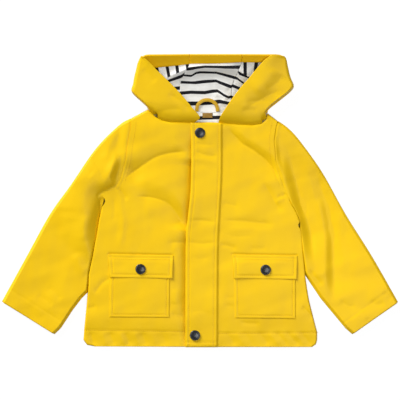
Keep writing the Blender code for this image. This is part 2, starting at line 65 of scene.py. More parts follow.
# Heights of the outer faces above the surface, and how far they change.
BODY_TOP = 10.5
LOWEST_FRONT = 2.6
SIDE_SEAM = 1.7
OVER_SLEEVE = {"right": 5.4, "left": 9.2}
OVER_LOW_SLEEVE = 9.2
NECK_RISE, NECK_REACH = 1.6, 22.0
HEM_DROP, HEM_REACH = 4.0, 34.0
SLEEVE_TOP = 11.0
LOWEST_SLEEVE = 3.0
# Radii of the edges that turn down.
SLEEVE_NOSE = 2.2
BODY_ROUND = 3.0
FREE_ROUND = 2.6
BACK_ROUND = 7.0
SLEEVE_OUTER_ROUND = 1.2
SLEEVE_INNER_ROUND = {"right": 6.0, "left": 4.0}
SLEEVE_LOW_ROUND = 2.0

# Heights up the coat, as Y: the neck, the hem, the armpits' top, where the
# front starts to lie higher over the sleeve, and where its side comes free.
NECK_LINE = 126.0
HEM_LINE = -234.4
ARMPIT_TOP = 40.0
LOW_SLEEVE = -46.0
SIDE_FREE = -115.0
# X at which the fronts meet, under the storm flap.
CENTRE_FRONT = 22.0

# Cut edges, as X, Y: the side from the hem up, the underarm to the armpit,
# the armhole up to the shoulder, and the neck from there to the centre front.
SIDE = {
    "right": [(-170, -233), (-181, -231), (-187, -223), (-186, -207), (-182, -167),
              (-178.3, -119), (-173.3, -95), (-167.4, -63), (-162.3, -31), (-158.5, -15),
              (-158.8, 8.6)],
    "left": [(180, -234), (186, -230), (188, -223), (188, -210), (183, -191),
             (175, -159), (168.3, -119), (165.4, -87), (162.4, -55), (160.4, -34),
             (154.4, -18.8), (143.4, 0.6)],
}
UNDERARM = {
    "right": [(-158.8, 8.6), (-134, 22.4)],
    "left": [(143.4, 0.6), (134, 22.8)],
}
ARMHOLE = {
    "right": [(-134, 23), (-127, 36), (-119, 65), (-116, 89), (-111, 116), (-110, 133)],
    "left": [(134, 23), (126, 46), (121, 65), (118, 97), (121, 116), (124, 129)],
}
SHOULDER = {
    "right": [(-110, 133), (-84, 147)],
    "left": [(124, 129), (108.5, 141)],
}
NECK = {
    "right": [(-84, 147), (-79, 142.8), (-71.5, 134.5), (-60, 128.5), (-47, 125.9),
              (CENTRE_FRONT, 125.9)],
    "left": [(108.5, 141), (105.8, 130), (98.3, 123.6), (84, 121), (62, 122.2),
             (36, 124.7), (CENTRE_FRONT, 125.9)],
}
BACK_NECK = [(-84, 147), (-76, 142), (-31, 141.2), (50, 141.2), (96, 137.4), (104, 136),
             (108.5, 141)]

SLEEVE_OUTER = {
    "right": [(-110, 133), (-130, 121), (-167, 84), (-207, 26), (-241, -22),
              (-278, -89), (-317.6, -161)],
    "left": [(124, 129), (142, 116), (162, 94), (196, 46), (234, -22),
             (276, -89), (317.6, -162)],
}
SLEEVE_INNER = {
    "right": [(-133.5, 19.5), (-146, 12.4), (-153.5, 3.5), (-156.6, -15), (-160.6, -31),
              (-165.8, -63), (-171.6, -95), (-176.8, -119), (-179.5, -146), (-189.5, -156),
              (-204, -175), (-223, -204), (-233, -213.6)],
    "left": [(132.5, 21), (141, 0.5), (152.5, -19), (158.4, -34), (160.6, -55),
             (163.6, -87), (167.2, -117), (193, -156), (233, -204), (244, -213.6)],
}

# Folds that hang over: the line where the cloth tucks in, as X, Y spots; the
# width and height of the swell along its left, seen the way it runs, and the
# depth at the line, each at even stops; the width of the dip beyond; and, where
# they are given, how far the swell spreads and whether the fall is soft at its foot.
BODY_DRAPES = [
    ([(-124, 34), (-112, 43), (-95, 55), (-79, 66), (-63, 73.5), (-47, 77), (-31, 78.5),
      (-14, 78)], (42, 10), (4.0, 1.2), (3.9, 1.0), 34),
    ([(-108, 7), (-87, 7), (-66, 3), (-51, -4), (-41, -15), (-31, -31), (-21, -50)],
     (30, 17), (2.0, 2.4), (2.0, 3.0), 30),
    ([(42, 118), (58, 102), (68, 92), (81, 84.5), (93, 76), (103, 68), (113, 57),
      (121, 44), (128, 30)], (11, 17), (1.6, 2.6), (1.8, 2.8), 26),
]
# Creases: the line as X, Y spots, the widths to the left and right of the way
# it runs, and the height, which is negative for a trough.
BODY_CREASES = [
    ([(-100, -12), (-70, -14), (-52, -28), (-40, -50)], 12, 10, 0.6),
    ([(-133, 22), (-124, 12), (-116, 0)], 3.5, 3.5, -1.1),
    ([(-134, 20), (-127, 8), (-121, -2)], 3, 3, 0.5),
    ([(-131, 14), (-126, -12), (-123, -39), (-129, -79)], 5, 6, 0.8),
    ([(-138, 6), (-137, -14), (-139, -34)], 4, 4, -0.6),
    ([(-52, -67.5), (-36, -66), (-18, -68)], 5, 3.5, -0.8),
    ([(-46, -74), (-34, -78), (-30, -92)], 6, 6, 0.6),
    ([(-140, -122), (-156, -131), (-170, -150)], 5, 5, -1.3),
    ([(-184, -173), (-176, -171), (-164, -168)], 3.5, 3.5, -0.7),
    ([(-40, -140), (-38, -154), (-40, -166)], 6, 6, 0.7),
    ([(-46, -178), (-36, -184), (-26, -186)], 6, 6, -0.8),
    ([(54, 86), (80, 70), (102, 44), (112, 22)], 12, 14, 0.5),
    ([(100, 31), (109, 17), (117, 3), (125, -10), (136, -17)], 6, 6, -1.5),
    ([(124, 10), (130, 7), (138, 13)], 3, 3, -0.9),
    ([(120, -4), (128, 2), (136, 4)], 4, 4, 0.7),
    ([(30, -31), (60, -31.5), (92, -34.5), (122, -37)], 5, 7, -1.2),
    ([(34, -44), (70, -46), (116, -47)], 7, 7, 0.5),
    ([(30, -70), (45, -71.5), (60, -77)], 4, 4, -1.1),
    ([(78, -74), (92, -76), (108, -75)], 4, 4, -0.5),
    ([(34, -2), (48, -5.5), (63, -9)], 4, 4, -0.6),
    ([(34, -52), (60, -57), (86, -55)], 4, 4, -0.3),
    ([(62, -193), (80, -196), (97, -196)], 4, 4, -0.8),
    ([(40, -152), (50, -155), (54, -150)], 4, 4, -0.5),
    ([(38, -165), (48, -168), (54, -166)], 4, 4, -0.5),
    ([(162, -168), (173, -178), (184, -190)], 4, 5, -1.2),
    ([(-8, 93), (8, 90), (26, 90)], 3.5, 3.5, -0.6),
    ([(-10, 82), (4, 75), (18, 72), (30, 73)], 4, 4, -1.0),
    ([(-12, 60), (6, 56), (30, 48)], 6, 6, -0.4),
    ([(-16, 66), (6, 66), (28, 59)], 4, 4, 0.4),
    ([(-20, -32), (4, -31), (28, -35)], 3.5, 4.5, -0.9),
    ([(-22, -65), (2, -68), (28, -66)], 3.5, 4.5, -0.8),
    ([(-20, -88), (0, -92), (20, -88)], 5, 5, -0.4),
    ([(-20, -180), (0, -176), (22, -182)], 6, 6, -0.4),
]
# Puckers in the hem's band: X at the stitching, slant, width, height.
HEM_PUCKERS = [
    (-176, 6, 4, -0.9), (-158, 9, 5, 0.6), (-146, 10, 5, -1.0), (-131, 12, 4, 0.7),
    (-121, 10, 4, -0.8), (-106, 9, 4, 0.6), (-95, 11, 5, -0.9), (-78, 8, 5, 0.4),
    (-62, 10, 5, -0.5), (-40, 6, 4, -0.4), (40, 18, 5, -0.7), (56, 16, 4, 0.5),
    (70, 16, 4, -0.5), (92, 20, 5, -0.8), (108, 20, 4, 0.6), (120, 22, 4, -0.9),
    (136, 24, 5, -0.8), (148, 22, 4, 0.5), (160, 20, 4, -0.6),
]
# The front sinks beside the storm flap's free edge, more in two places.
FLAP_TROUGHS = [
    ([(-22.5, -250), (-22, -71), (-19, -31), (-14, 17), (-13, 60), (-14, 122)], 6, 4, -3.9),
    ([(-21, -50), (-16, 0), (-14, 30), (-13, 70)], 20, 5, -4.6),
    ([(-24, -200), (-23.5, -130), (-22, -55)], 9, 5, -1.8),
]
# The side seams gape below the armpits: Y, half length, and width.
SLITS = {"right": (0.0, 8.5, 7.0), "left": (-39.0, 4.8, 3.8)}
SLIT_REACH = 9.0
HEM_STITCH = {"right": [(-190, -206.5), (-24, -209)], "left": [(28, -212), (190, -211)]}
# Dips along seams and rows of stitching: depth and width.
ARMHOLE_SEAM_DEPTH = 0.35
HEM_GROOVE = (0.45, 1.5)
LID_GROOVE = (1.3, 1.7)
CUFF_GROOVE = (0.4, 1.5)

SLEEVE_DRAPES = {
    "right": [
        ([(-171, -110), (-167, -80), (-164, -50), (-160, -20), (-158.5, 8), (-146, 16),
          (-134, 23), (-118, 31), (-100, 38), (-82, 44)],
         (8, 13, 21, 25, 27, 27, 27, 26, 26), (1.0, 2.8, 5.8, 8.4, 9.4, 9.4, 8.2, 7.0, 6.0),
         (2.0, 2.4, 4.6, 6.0, 4.4, 1.4, 0.2, 0.0, 0.0), 40, 1.3),
    ],
    "left": [
        ([(184, -115), (183, -95), (181, -71), (177, -47), (168, -15), (156, 25), (148, 54),
          (141, 86), (138, 110)], (16, 19, 20, 20, 20, 16, 14), (0.0, 0.0),
         (3.4, 5.8, 8.2, 8.6, 6.4, 2.2, 0.6), 45, 1.8, True),
        ([(217, -165), (215, -119), (215, -71), (213, -47), (207, -15), (197, 16), (189, 45),
          (183, 66)], (16, 16), (0.0, 0.0), (4.2, 4.6, 2.6), 50, 1.8, True),
    ],
}
SLEEVE_CREASES = {
    "right": [
        ([(-130, 114), (-142, 94), (-149, 74), (-151, 60)], 7, 8, 1.2),
        ([(-190, 66), (-182, 50), (-170, 40)], 7, 9, -1.0),
        ([(-181, -20), (-187, -44), (-185, -66)], 8, 9, 0.9),
        ([(-200, -82), (-192, -104), (-178, -116)], 8, 8, 1.1),
        ([(-205, 0), (-215, -70), (-250, -130)], 20, 18, 0.8),
        ([(-262, -150), (-246, -158), (-236, -170)], 5, 5, -0.7),
        ([(-246, -138), (-232, -146), (-222, -160)], 6, 5, -0.6),
        ([(-240, -178), (-226, -176), (-214, -182)], 6, 6, 0.5),
        ([(-278, -156), (-262, -170), (-250, -186)], 6, 6, 0.4),
    ],
    "left": [
        ([(176, 50), (184, 20), (190, -10)], 7, 7, -0.7),
        ([(174, -108), (188, -127), (198, -135)], 4, 4, -1.3),
        ([(180, -118), (194, -118), (204, -112)], 5, 5, 0.5),
        ([(218, -12), (226, -70), (232, -120)], 10, 12, 0.7),
        ([(224, -158), (238, -168), (250, -166)], 5, 5, -0.7),
        ([(272, -158), (284, -166), (296, -162)], 5, 5, -0.7),
        ([(254, -172), (262, -182), (268, -190)], 5, 5, 0.5),
        ([(292, -146), (302, -152), (306, -160)], 4, 4, -0.6),
    ],
}
# The sleeve lies level with the front for the first width beside the armhole, and
# comes away from it over the second; under the arm, over the third.
SEAM_REST = {"right": (5.0, 14.0, 8.0), "left": (0.0, 9.0, 5.0)}
# How far each sleeve's top sags behind its outer fold.
SLEEVE_SAG = {"right": 1.5, "left": 1.0}
SAG_DEEPEST, SAG_BEYOND = 48.0, 30.0
# How far the armhole seam's line lies from the cut edge, and the sleeve's end
# runs on under the front.
SEAM_SHIFT = {"right": -0.7, "left": 0.6}
SLEEVE_TUCK, SLEEVE_TUCK_DROP = 3.4, 1.1
CUFF_HEM = 24.0
# Share of the sleeve's length that is joined to the front under the arm, and
# over which the armhole's bow fades; how far the end's tuck runs, and how much
# of the inner edge lies under the front.
UNDERARM_SHARE = {"right": 0.085, "left": 0.0}
HOLE_SHARE, TUCK_LENGTH, UNDER_FRONT = 0.22, 2.0, 3.5
# Y from which, and length over which, the seam beside the armhole and the
# inner edge's full radius set in.
ARMPIT, ARMPIT_LENGTH = 24.0, 18.0
INNER_ROUND_FROM, INNER_ROUND_LENGTH = -135, 45.0

# Hood side panels, a row for each section from the neck to the forehead edge:
# share of the way, front edge X, Y, Z, outer fold X, Y, height of the fold's
# top, centre seam X, Y, width over which the fold rolls under.
HOOD_ROWS = {
    "right": [
        (0.00, -9, 126.1, 12.6, -83.6, 147.2, 12.2, -31, 142, 6),
        (0.08, -1, 133, 18.0, -85, 150.5, 18.0, -32, 150, 6),
        (0.20, -14, 150, 22.0, -92, 157, 21.6, -32, 159, 6),
        (0.35, -28, 167, 23.4, -109, 174, 22.6, -32, 170, 6),
        (0.50, -42, 182, 24.0, -107, 188, 23.0, -32, 182, 6),
        (0.62, -53, 193, 24.4, -105, 199, 23.2, -30, 193, 6),
        (0.70, -60, 200, 24.8, -103, 207, 23.6, -26, 202, 6),
        (0.76, -66, 205.5, 25.2, -101.5, 213, 24.0, -22, 209, 6),
        (0.82, -71, 210.5, 25.7, -100, 219, 24.4, -18, 216, 6),
        (0.88, -76, 216, 26.3, -98, 224, 25.0, -16.5, 222, 6),
        (0.94, -82, 222, 26.9, -96, 228, 25.4, -16, 228, 4),
        (1.00, -90, 229.2, 27.6, -94, 231.4, 27.2, -16, 234.4, 2.6),
    ],
    "left": [
        (0.00, 30, 126.1, 12.6, 108.2, 140.8, 12.2, 50, 142, 6),
        (0.08, 34, 136, 18.4, 109.8, 146, 16.6, 50, 150, 10),
        (0.20, 44, 152, 22.4, 123, 157, 18.4, 50, 159, 8),
        (0.35, 56, 169, 23.6, 145, 175, 18.8, 50, 170, 5),
        (0.50, 68, 184, 24.2, 150, 185, 19.2, 51, 182, 5),
        (0.62, 79, 196, 24.6, 145.5, 196, 20.0, 54, 193, 6),
        (0.70, 86, 205, 25.0, 143, 204, 21.0, 58, 202, 6),
        (0.76, 92, 212, 25.4, 141.5, 211, 22.0, 61, 209, 6),
        (0.82, 98, 219, 25.8, 140, 217, 23.0, 64, 216, 6),
        (0.88, 104, 225, 26.4, 139, 222, 24.0, 66, 222, 6),
        (0.94, 110, 229.5, 26.9, 137.5, 227, 25.2, 67, 228, 4),
        (1.00, 116, 233.6, 27.6, 135, 230.5, 27.2, 67, 234.4, 2.6),
    ],
}
HOOD_CLIMB = [(0.00, 0.0), (0.30, 1.0), (0.45, 2.5), (0.55, 4.0), (0.62, 5.5), (0.70, 7.5),
              (0.76, 9.5), (0.82, 12.0), (0.88, 15.0), (0.94, 18.4), (1.00, 22.0)]
# Share of each wing's width that lies level before it falls to the outer fold.
WING_FALL = {"right": 0.30, "left": 0.15}
# How far the under layer of a wing shows past its fold, near the neck.
WING_LIP = {"right": 0.0, "left": 1.0}
LIP_HEIGHT = 2.2
# Nicks where the neck seam stands open: share of the wing's width, half its
# length as a share, and the way and distance the edge draws in.
NECK_NICKS = {"right": (0.87, 0.05, (4.2, 4.8)), "left": (0.925, 0.045, (-5.2, 2.6))}
HOOD_NECK = {
    "right": [(-9, 126.1), (-47, 126.1), (-60, 128.9), (-71.2, 134.9), (-78.8, 143),
              (-83.6, 147.2)],
    "left": [(30, 126.1), (36, 125.0), (62, 122.4), (84, 121.2), (98.1, 123.9),
             (105.6, 130.2), (108.2, 140.8)],
}
FOREHEAD = {
    "right": [(-94, 231), (-90, 233.6), (-84, 234.4), (-16, 234.4)],
    "left": [(135, 230.5), (131, 232.8), (124, 233.8), (67, 234.4)],
}
HOOD_CREASES = {
    "right": [
        ([(-70, 140), (-50, 146), (-28, 146)], 7, 7, -0.8),
        ([(-52, 172), (-32, 160), (-12, 142)], 8, 6, -1.0),
        ([(-92, 212), (-80, 200), (-70, 188)], 8, 8, -0.6),
    ],
    "left": [
        ([(118, 214), (110, 196), (84, 172)], 12, 12, 1.5),
        ([(112, 160), (90, 160), (72, 158)], 6, 6, -0.7),
        ([(132, 204), (124, 190), (104, 176)], 10, 10, -1.2),
        ([(132, 178), (108, 168), (72, 148)], 8, 8, -1.3),
        ([(66, 143), (80, 146), (93, 144)], 5, 5, -0.5),
        ([(62, 149), (78, 152), (94, 150)], 5, 5, 0.5),
        ([(40, 130), (56, 127), (74, 126.5)], 3, 3, -0.6),
    ],
}
# The crown of the hood has sunk into a ridge across the lining.
RIDGE_CREASES = [
    ([(-64, 190), (-52, 198), (-27, 208.5), (-14, 212.5), (20, 212.5), (52, 212), (66, 205),
      (84, 196)], 4, 9, 6.0),
    ([(-12, 205), (18, 206.5), (40, 202), (66, 190)], 4, 5, -1.2),
    ([(20, 192), (28, 190), (48, 178)], 6, 7, 1.4),
    ([(20, 172), (32, 170), (46, 162)], 5, 6, 1.6),
    ([(-22, 180), (4, 178), (20, 182)], 7, 7, 0.7),
    ([(28, 156), (38, 158), (52, 156)], 4, 4, 1.4),
]
# Where the facing ends and the lining starts: X, share of the way up.
FACING_EDGE = [(-100, 0.78), (-73, 0.80), (-54, 0.825), (-16, 0.875), (30, 0.885), (66, 0.905),
               (80, 0.90), (140, 0.89)]

# Stripes of the lining, each a line of X, Y, from the neck up.
CENTRE_STRIPES = [
    [(-20, 132.5), (40, 134.5)],
    [(-24, 156.5), (-3, 157), (22, 158.5), (32, 160.5), (38, 159.5), (52, 157)],
    [(-33, 172.5), (-15, 174.5), (8, 173.5), (20, 176), (28, 176.5), (33, 173), (38, 169),
     (46, 165), (52, 168)],
    [(-33, 191), (-7, 189.5), (8, 191.5), (26, 192.5), (31, 190), (50, 183), (52, 185), (64, 180)],
    [(-33, 202), (-14, 200), (-6, 205.5), (0, 206.5), (26, 205.5), (38, 202.5), (50, 199),
     (62, 194.5), (70, 190)],
    [(-33, 208), (8, 213.5), (40, 213), (70, 214)],
    [(-33, 232), (70, 233)],
]
SIDE_STRIPES = {
    "right": [
        [(-60, 164), (-30, 164)],
        [(-60, 180.5), (-30, 181)],
        [(-52, 191), (-38, 196.5), (-30, 199.5), (-20, 207)],
        [(-60, 206), (-20, 216)],
        [(-60, 222), (-20, 232)],
    ],
    "left": [
        [(44, 152), (90, 150)],
        [(44, 168), (60, 163), (90, 156)],
        [(50, 186), (66, 179.5), (90, 172)],
        [(50, 199), (60, 196), (72, 187), (90, 178)],
        [(58, 211), (63, 203), (73, 200), (84, 196.5)],
        [(58, 232), (84, 214)],
    ],
}
# In the deep band behind the ridge the side panels' stripes stand on end:
# X of each at the top of the band, and how far it leans.
BAND_STRIPES = {"right": [(-91, 0.0), (-72, 4.0), (-54, 3.0), (-38, 2.0), (-21, 2.0), (-3, 0.0)],
                "left": [(54, 0.0), (72, 0.5), (90, -2.0), (108, 0.0)]}
BAND_TOP, BAND_DEPTH = 222.0, 14.0
RIDGE_LINE = [(-64, 190), (-52, 197.5), (-27, 208), (-14, 212.5), (52, 212.5), (66, 205),
              (84, 196)]

FLAP_FREE_EDGE = [(-23.5, HEM_LINE), (-23, -71), (-20, -31), (-15, 17), (-14, 73), (-15, 125.6)]
FLAP_SEAM = [(29, HEM_LINE), (30, -79), (33, -15), (36, 49), (36, 125.6)]
# Y of the flap's top, at its free edge and at its seam.
FLAP_TOP = (125.2, 124.0)
FLAP_STAND, FLAP_RIM = 2.1, 0.3
# Distance of the flap's rows of stitching from its free edge, seam and hem.
FREE_ROW, SEAM_ROW, HEM_ROW = 6.0, 7.0, 8.5
# Corners: low at the side, low and high at the centre, high at the side.
POCKETS = {
    "right": [(-145, -186), (-49, -186.5), (-48, -92), (-143, -92)],
    "left": [(153, -188.5), (56, -187.5), (55, -94), (153, -94)],
}
POCKET_FLAPS = {
    "right": [(-144.5, -122), (-44, -124), (-42.5, -87), (-147, -85)],
    "left": [(154.5, -125), (54, -124), (52, -85.5), (156, -87.5)],
}
SNAPS = {
    "snap_top": (0, 109),
    "snap_bottom": (-8, -215),
    "snap_pocket_right": (-95, -109),
    "snap_pocket_left": (105, -110),
}
SNAP_RADIUS = 8.3
LOOP_PATH = [(-5, 143.5), (-4, 153), (3, 160), (12, 162), (20.5, 159.5), (26.5, 153),
             (28.5, 143.5)]
# Boxes: X from and to, Y from and to.
LABEL = (4, 20, 133.2, 141.2)
NECK_LINING = (-50, 76, 104, 140.5)


def linear(code):
    """Linear colour of an sRGB hex code."""
    parts = [int(code[at:at + 2], 16) / 255.0 for at in (1, 3, 5)]
    return [part / 12.92 if part <= 0.04045 else ((part + 0.055) / 1.055) ** 2.4
            for part in parts] + [1.0]


class Path:
    """A line through a few points, read by its share of the length."""

    def __init__(self, points):
        self.points = np.array(points, float)
        steps = np.linalg.norm(np.diff(self.points, axis=0), axis=1)
        self.length = steps.sum()
        self.shares = np.concatenate(([0.0], np.cumsum(steps))) / self.length

    def at(self, share):
        return np.stack([np.interp(share, self.shares, column) for column in self.points.T],
                        axis=-1)

    def nearest(self, spots):
        """Distance from spots, the side they are on, and the share there."""
        starts, runs = self.points[:-1], np.diff(self.points, axis=0)
        gap = spots[:, None, :] - starts
        reach = np.clip((gap * runs).sum(-1) / (runs ** 2).sum(-1), 0.0, 1.0)
        away = gap - runs * reach[..., None]
        distance = np.linalg.norm(away, axis=-1)
        pick = distance.argmin(axis=1)
        row = np.arange(len(spots))
        run, off = runs[pick], away[row, pick]
        side = np.sign(run[:, 0] * off[:, 1] - run[:, 1] * off[:, 0])
        share = self.shares[pick] + reach[row, pick] * np.diff(self.shares)[pick]
        return distance[row, pick], side, share


def smooth_path(points, steps=6):
    """A path rounded through its points by a Catmull-Rom curve."""
    spots = np.array(points, float)
    ends = np.vstack((2 * spots[0] - spots[1], spots, 2 * spots[-1] - spots[-2]))
    curve = []
    for first in range(len(spots) - 1):
        a, b, c, d = ends[first:first + 4]
        for step in range(steps):
            t = step / steps
            curve.append(0.5 * (2 * b + (c - a) * t + (2 * a - 5 * b + 4 * c - d) * t ** 2
                                + (3 * b - a - 3 * c + d) * t ** 3))
    curve.append(spots[-1])
    return Path(curve)


def joined(*runs):
    """One list of points from runs that follow each other."""
    points = list(runs[0])
    for run in runs[1:]:
        points.extend(run[1:])
    return points


def mix(low, high, share):
    """A value on the way from one to another."""
    return low + (high - low) * share


def eased(share):
    """A share from 0 to 1, with a soft start and end."""
    share = np.clip(share, 0.0, 1.0)
    return share * share * (3 - 2 * share)


def faded(share, end):
    """1 along a line, and softly to 0 over a share of it at both ends."""
    return eased(share / end) * eased((1 - share) / end)


def rounded(distance, radius):
    """Share of full height at a distance in from a folded edge."""
    reach = np.clip(distance / radius, 0.0, 1.0)
    return np.sqrt(1.0 - (1.0 - reach) ** 2)


def bell(distance, width):
    """1 at no distance, falling away softly on both sides."""
    return np.exp(-(distance / width) ** 2)


def unit(rows):
    """Rows of directions, each with length 1."""
    return rows / np.linalg.norm(rows, axis=1)[:, None]


def bow(path, reach):
    """How far a path leaves the straight line between its ends."""
    straight = path.at(0.0) * (1 - reach[:, None]) + path.at(1.0) * reach[:, None]
    return path.at(reach) - straight


def line_at(line, x):
    """The second value of a line of spots, where the first is x."""
    return np.interp(x, *np.array(line, float).T)


class Crease:
    """A soft trough or ridge along a line, fading at both ends."""

    TROUGH_POWER, RIDGE_POWER = 1.25, 1.8

    def __init__(self, points, left_width, right_width, height, fade=0.24):
        self.path = smooth_path(points)
        self.left_width, self.right_width = left_width, right_width
        self.height, self.fade = height, fade

    def at(self, spots):
        away, side, share = self.path.nearest(spots)
        width = np.where(side > 0, self.left_width, self.right_width)
        power = self.TROUGH_POWER if self.height < 0 else self.RIDGE_POWER
        return self.height * np.exp(-(away / width) ** power) * faded(share, self.fade)


class Drape:
    """A swell that falls to a tuck along its line, and a slow rise beyond it."""

    FADE, TUCK_DEPTH, TUCK_WIDTH = 0.2, 0.4, 1.6

    def __init__(self, points, widths, heights, depths, beyond, spread=1.8, soft=False):
        self.path, self.beyond, self.spread = smooth_path(points), beyond, spread
        self.stops, self.soft = (widths, heights, depths), soft

    def at(self, spots):
        away, side, share = self.path.nearest(spots)
        width, height, depth = (np.interp(share, np.linspace(0.0, 1.0, len(stops)), stops)
                                for stops in self.stops)
        reach = away / width
        turn = np.minimum(reach, 1.0) * math.pi
        climbed = (1 - np.cos(turn)) / 2 if self.soft else np.sin(turn / 2)
        fall = np.where(reach < 1.0, climbed * (height + depth) - depth,
                        height * bell(reach - 1.0, self.spread))
        rise = -depth * np.exp(-away / self.beyond)
        tuck = 0.0 if self.soft else -self.TUCK_DEPTH * bell(away, self.TUCK_WIDTH)
        return faded(share, self.FADE) * (np.where(side > 0, fall, rise) + tuck)


def lift(shapes, spots):
    """Height that several creases and drapes add."""
    return sum(shape.at(spots) for shape in shapes)


def groove(path, spots, depth, width):
    """The narrow dip that a row of stitching pulls into cloth."""
    away, _, share = path.nearest(spots)
    return -depth * bell(away, width) * ((share > 0.0) & (share < 1.0))


def hem_pucker(start, slant, width, height):
    """A pucker that runs from the hem's stitching down to its fold."""
    line = [(start, -208), (start + slant * 0.5, -220), (start + slant, -233)]
    return Crease(line, width, width, height, fade=0.3)


BODY_SHAPES = ([Crease(*row) for row in BODY_CREASES] + [Drape(*row) for row in BODY_DRAPES]
               + [hem_pucker(*row) for row in HEM_PUCKERS])
FLAP_TROUGH_SHAPES = [Crease(*row, fade=0.12) for row in FLAP_TROUGHS]
SLEEVE_SHAPES = {side: [Crease(*row) for row in SLEEVE_CREASES[side]]
                 + [Drape(*row) for row in SLEEVE_DRAPES[side]] for side in SIDES}
HOOD_SHAPES = {side: [Crease(*row) for row in HOOD_CREASES[side]] for side in SIDES}
RIDGE_SHAPES = [Crease(*row) for row in RIDGE_CREASES]
FOLDED_EDGES = [Path(edges[side]) for edges in (SIDE, SHOULDER) for side in SIDES]
ARM_SEAMS = {side: Path(joined(UNDERARM[side], ARMHOLE[side])) for side in SIDES}
ARMHOLE_PATHS = {side: Path(ARMHOLE[side]) for side in SIDES}
HEM_STITCH_PATHS = {side: Path(HEM_STITCH[side]) for side in SIDES}


def ripples(seed, count=14):
    """Slight unevenness all over: directions, wave lengths and heights."""
    picks = np.random.default_rng(seed)
    turns, lengths = picks.uniform(0, 2 * math.pi, count), picks.uniform(16, 62, count)
    waves = np.column_stack((np.cos(turns), np.sin(turns))) * (2 * math.pi / lengths)[:, None]
    return waves, picks.uniform(0, 2 * math.pi, count), lengths * 0.0020


RIPPLES = ripples(7)


def uneven(spots):
    """Height of the slight unevenness at each spot."""
    waves, starts, heights = RIPPLES
    return (np.sin(spots @ waves.T + starts) * heights).sum(axis=1)


def front_level(spots):
    """Height of the front, before its edges turn down."""
    y = spots[:, 1]
    level = BODY_TOP + NECK_RISE * bell(NECK_LINE - y, NECK_REACH)
    level = level - HEM_DROP * bell(y - HEM_LINE, HEM_REACH) + lift(BODY_SHAPES, spots)
    return np.maximum(level + uneven(spots), LOWEST_FRONT)


def folded_distance(spots):
    """Distance in from the side seams and shoulders."""
    return np.min([path.nearest(spots)[0] for path in FOLDED_EDGES], axis=0)


def front_height(spots):
    """Height of the front panels' outer face, before seams."""
    x, y = spots.T
    radius = mix(BODY_ROUND, FREE_ROUND, eased((SIDE_FREE - y) / 45.0))
    rim = np.where(x < 0, OVER_SLEEVE["right"], OVER_SLEEVE["left"])
    rim = mix(rim, OVER_LOW_SLEEVE, eased((LOW_SLEEVE - y) / 30.0))
    rim = mix(rim, SIDE_SEAM, eased((SIDE_FREE - y) / 30.0))
    rim = np.where(y > ARMPIT_TOP, SIDE_SEAM, rim)
    return mix(rim, front_level(spots), rounded(folded_distance(spots), radius))


def coons(bottom, top, start, end):
    """Spots inside four edges, from their shares across and along."""
    corners = [path.at(share) for path in (bottom, top) for share in (0.0, 1.0)]

    def spots(across, along):
        u, v = across[:, None], along[:, None]
        ruled = (1 - v) * bottom.at(across) + v * top.at(across)
        ruled = ruled + (1 - u) * start.at(along) + u * end.at(along)
        flat = (1 - v) * ((1 - u) * corners[0] + u * corners[1])
        return ruled - flat - v * ((1 - u) * corners[2] + u * corners[3])

    return spots


def moved_out(place, distance):
    """The same surface, moved along its normal."""
    step = 0.004

    def spots(across, along):
        run_u = (place(np.minimum(across + step, 1.0), along)
                 - place(np.maximum(across - step, 0.0), along))
        run_v = (place(across, np.minimum(along + step, 1.0))
                 - place(across, np.maximum(along - step, 0.0)))
        normal = np.cross(run_u, run_v)
        normal *= np.where(normal[:, 2:] < 0.0, -1.0, 1.0)
        normal /= np.linalg.norm(normal, axis=1)[:, None]
        return place(across, along) + normal * distance

    return spots


def node_added(material, kind, settings=(), links=()):
    """Add a node, set its inputs and attributes, and link sockets to it."""
    node = material.node_tree.nodes.new("ShaderNode" + kind)
    for name, value in dict(settings).items():
        if name in node.inputs:
            node.inputs[name].default_value = value
        else:
            setattr(node, name, value)
    for name, source in dict(links).items():
        material.node_tree.links.new(source, node.inputs[name])
    return node


def new_material(name, code, roughness, **settings):
    """A material with one shader, and that shader."""
    material = bpy.data.materials.new(name)
    material.use_nodes = True
    shader = material.node_tree.nodes["Principled BSDF"]
    shader.inputs["Base Color"].default_value = linear(code)
    shader.inputs["Roughness"].default_value = roughness
    for socket, value in settings.items():
        shader.inputs[socket.replace("_", " ")].default_value = value
    return material, shader


def blended(material, factor, dark, light, low=0.0, high=1.0):
    """A colour that goes from dark to light as a factor goes from low to high."""
    ramp = node_added(material, "ValToRGB", links={"Fac": factor})
    for stop, position, code in zip(ramp.color_ramp.elements, (low, high), (dark, light)):
        stop.position, stop.color = position, linear(code)
    return ramp.outputs["Color"]


def mottled(material, shader, dark, light, size_mm, rough):
    """Vary the colour and roughness a little over a surface."""
    links = material.node_tree.links
    spot = node_added(material, "TexCoord").outputs["Object"]
    noise = node_added(material, "TexNoise",
                       {"Scale": 1.0 / (size_mm * MM), "Detail": 4.0, "Roughness": 0.55},
                       {"Vector": spot}).outputs["Fac"]
    links.new(blended(material, noise, dark, light, 0.35, 0.65), shader.inputs["Base Color"])
    gloss = node_added(material, "MapRange",
                       {"To Min": rough[0], "To Max": rough[1]}, {"Value": noise})
    links.new(gloss.outputs["Result"], shader.inputs["Roughness"])
    return spot


# Width in metres of one wave of the wave texture, at a scale of 1.
WAVE_WIDTH = 0.314


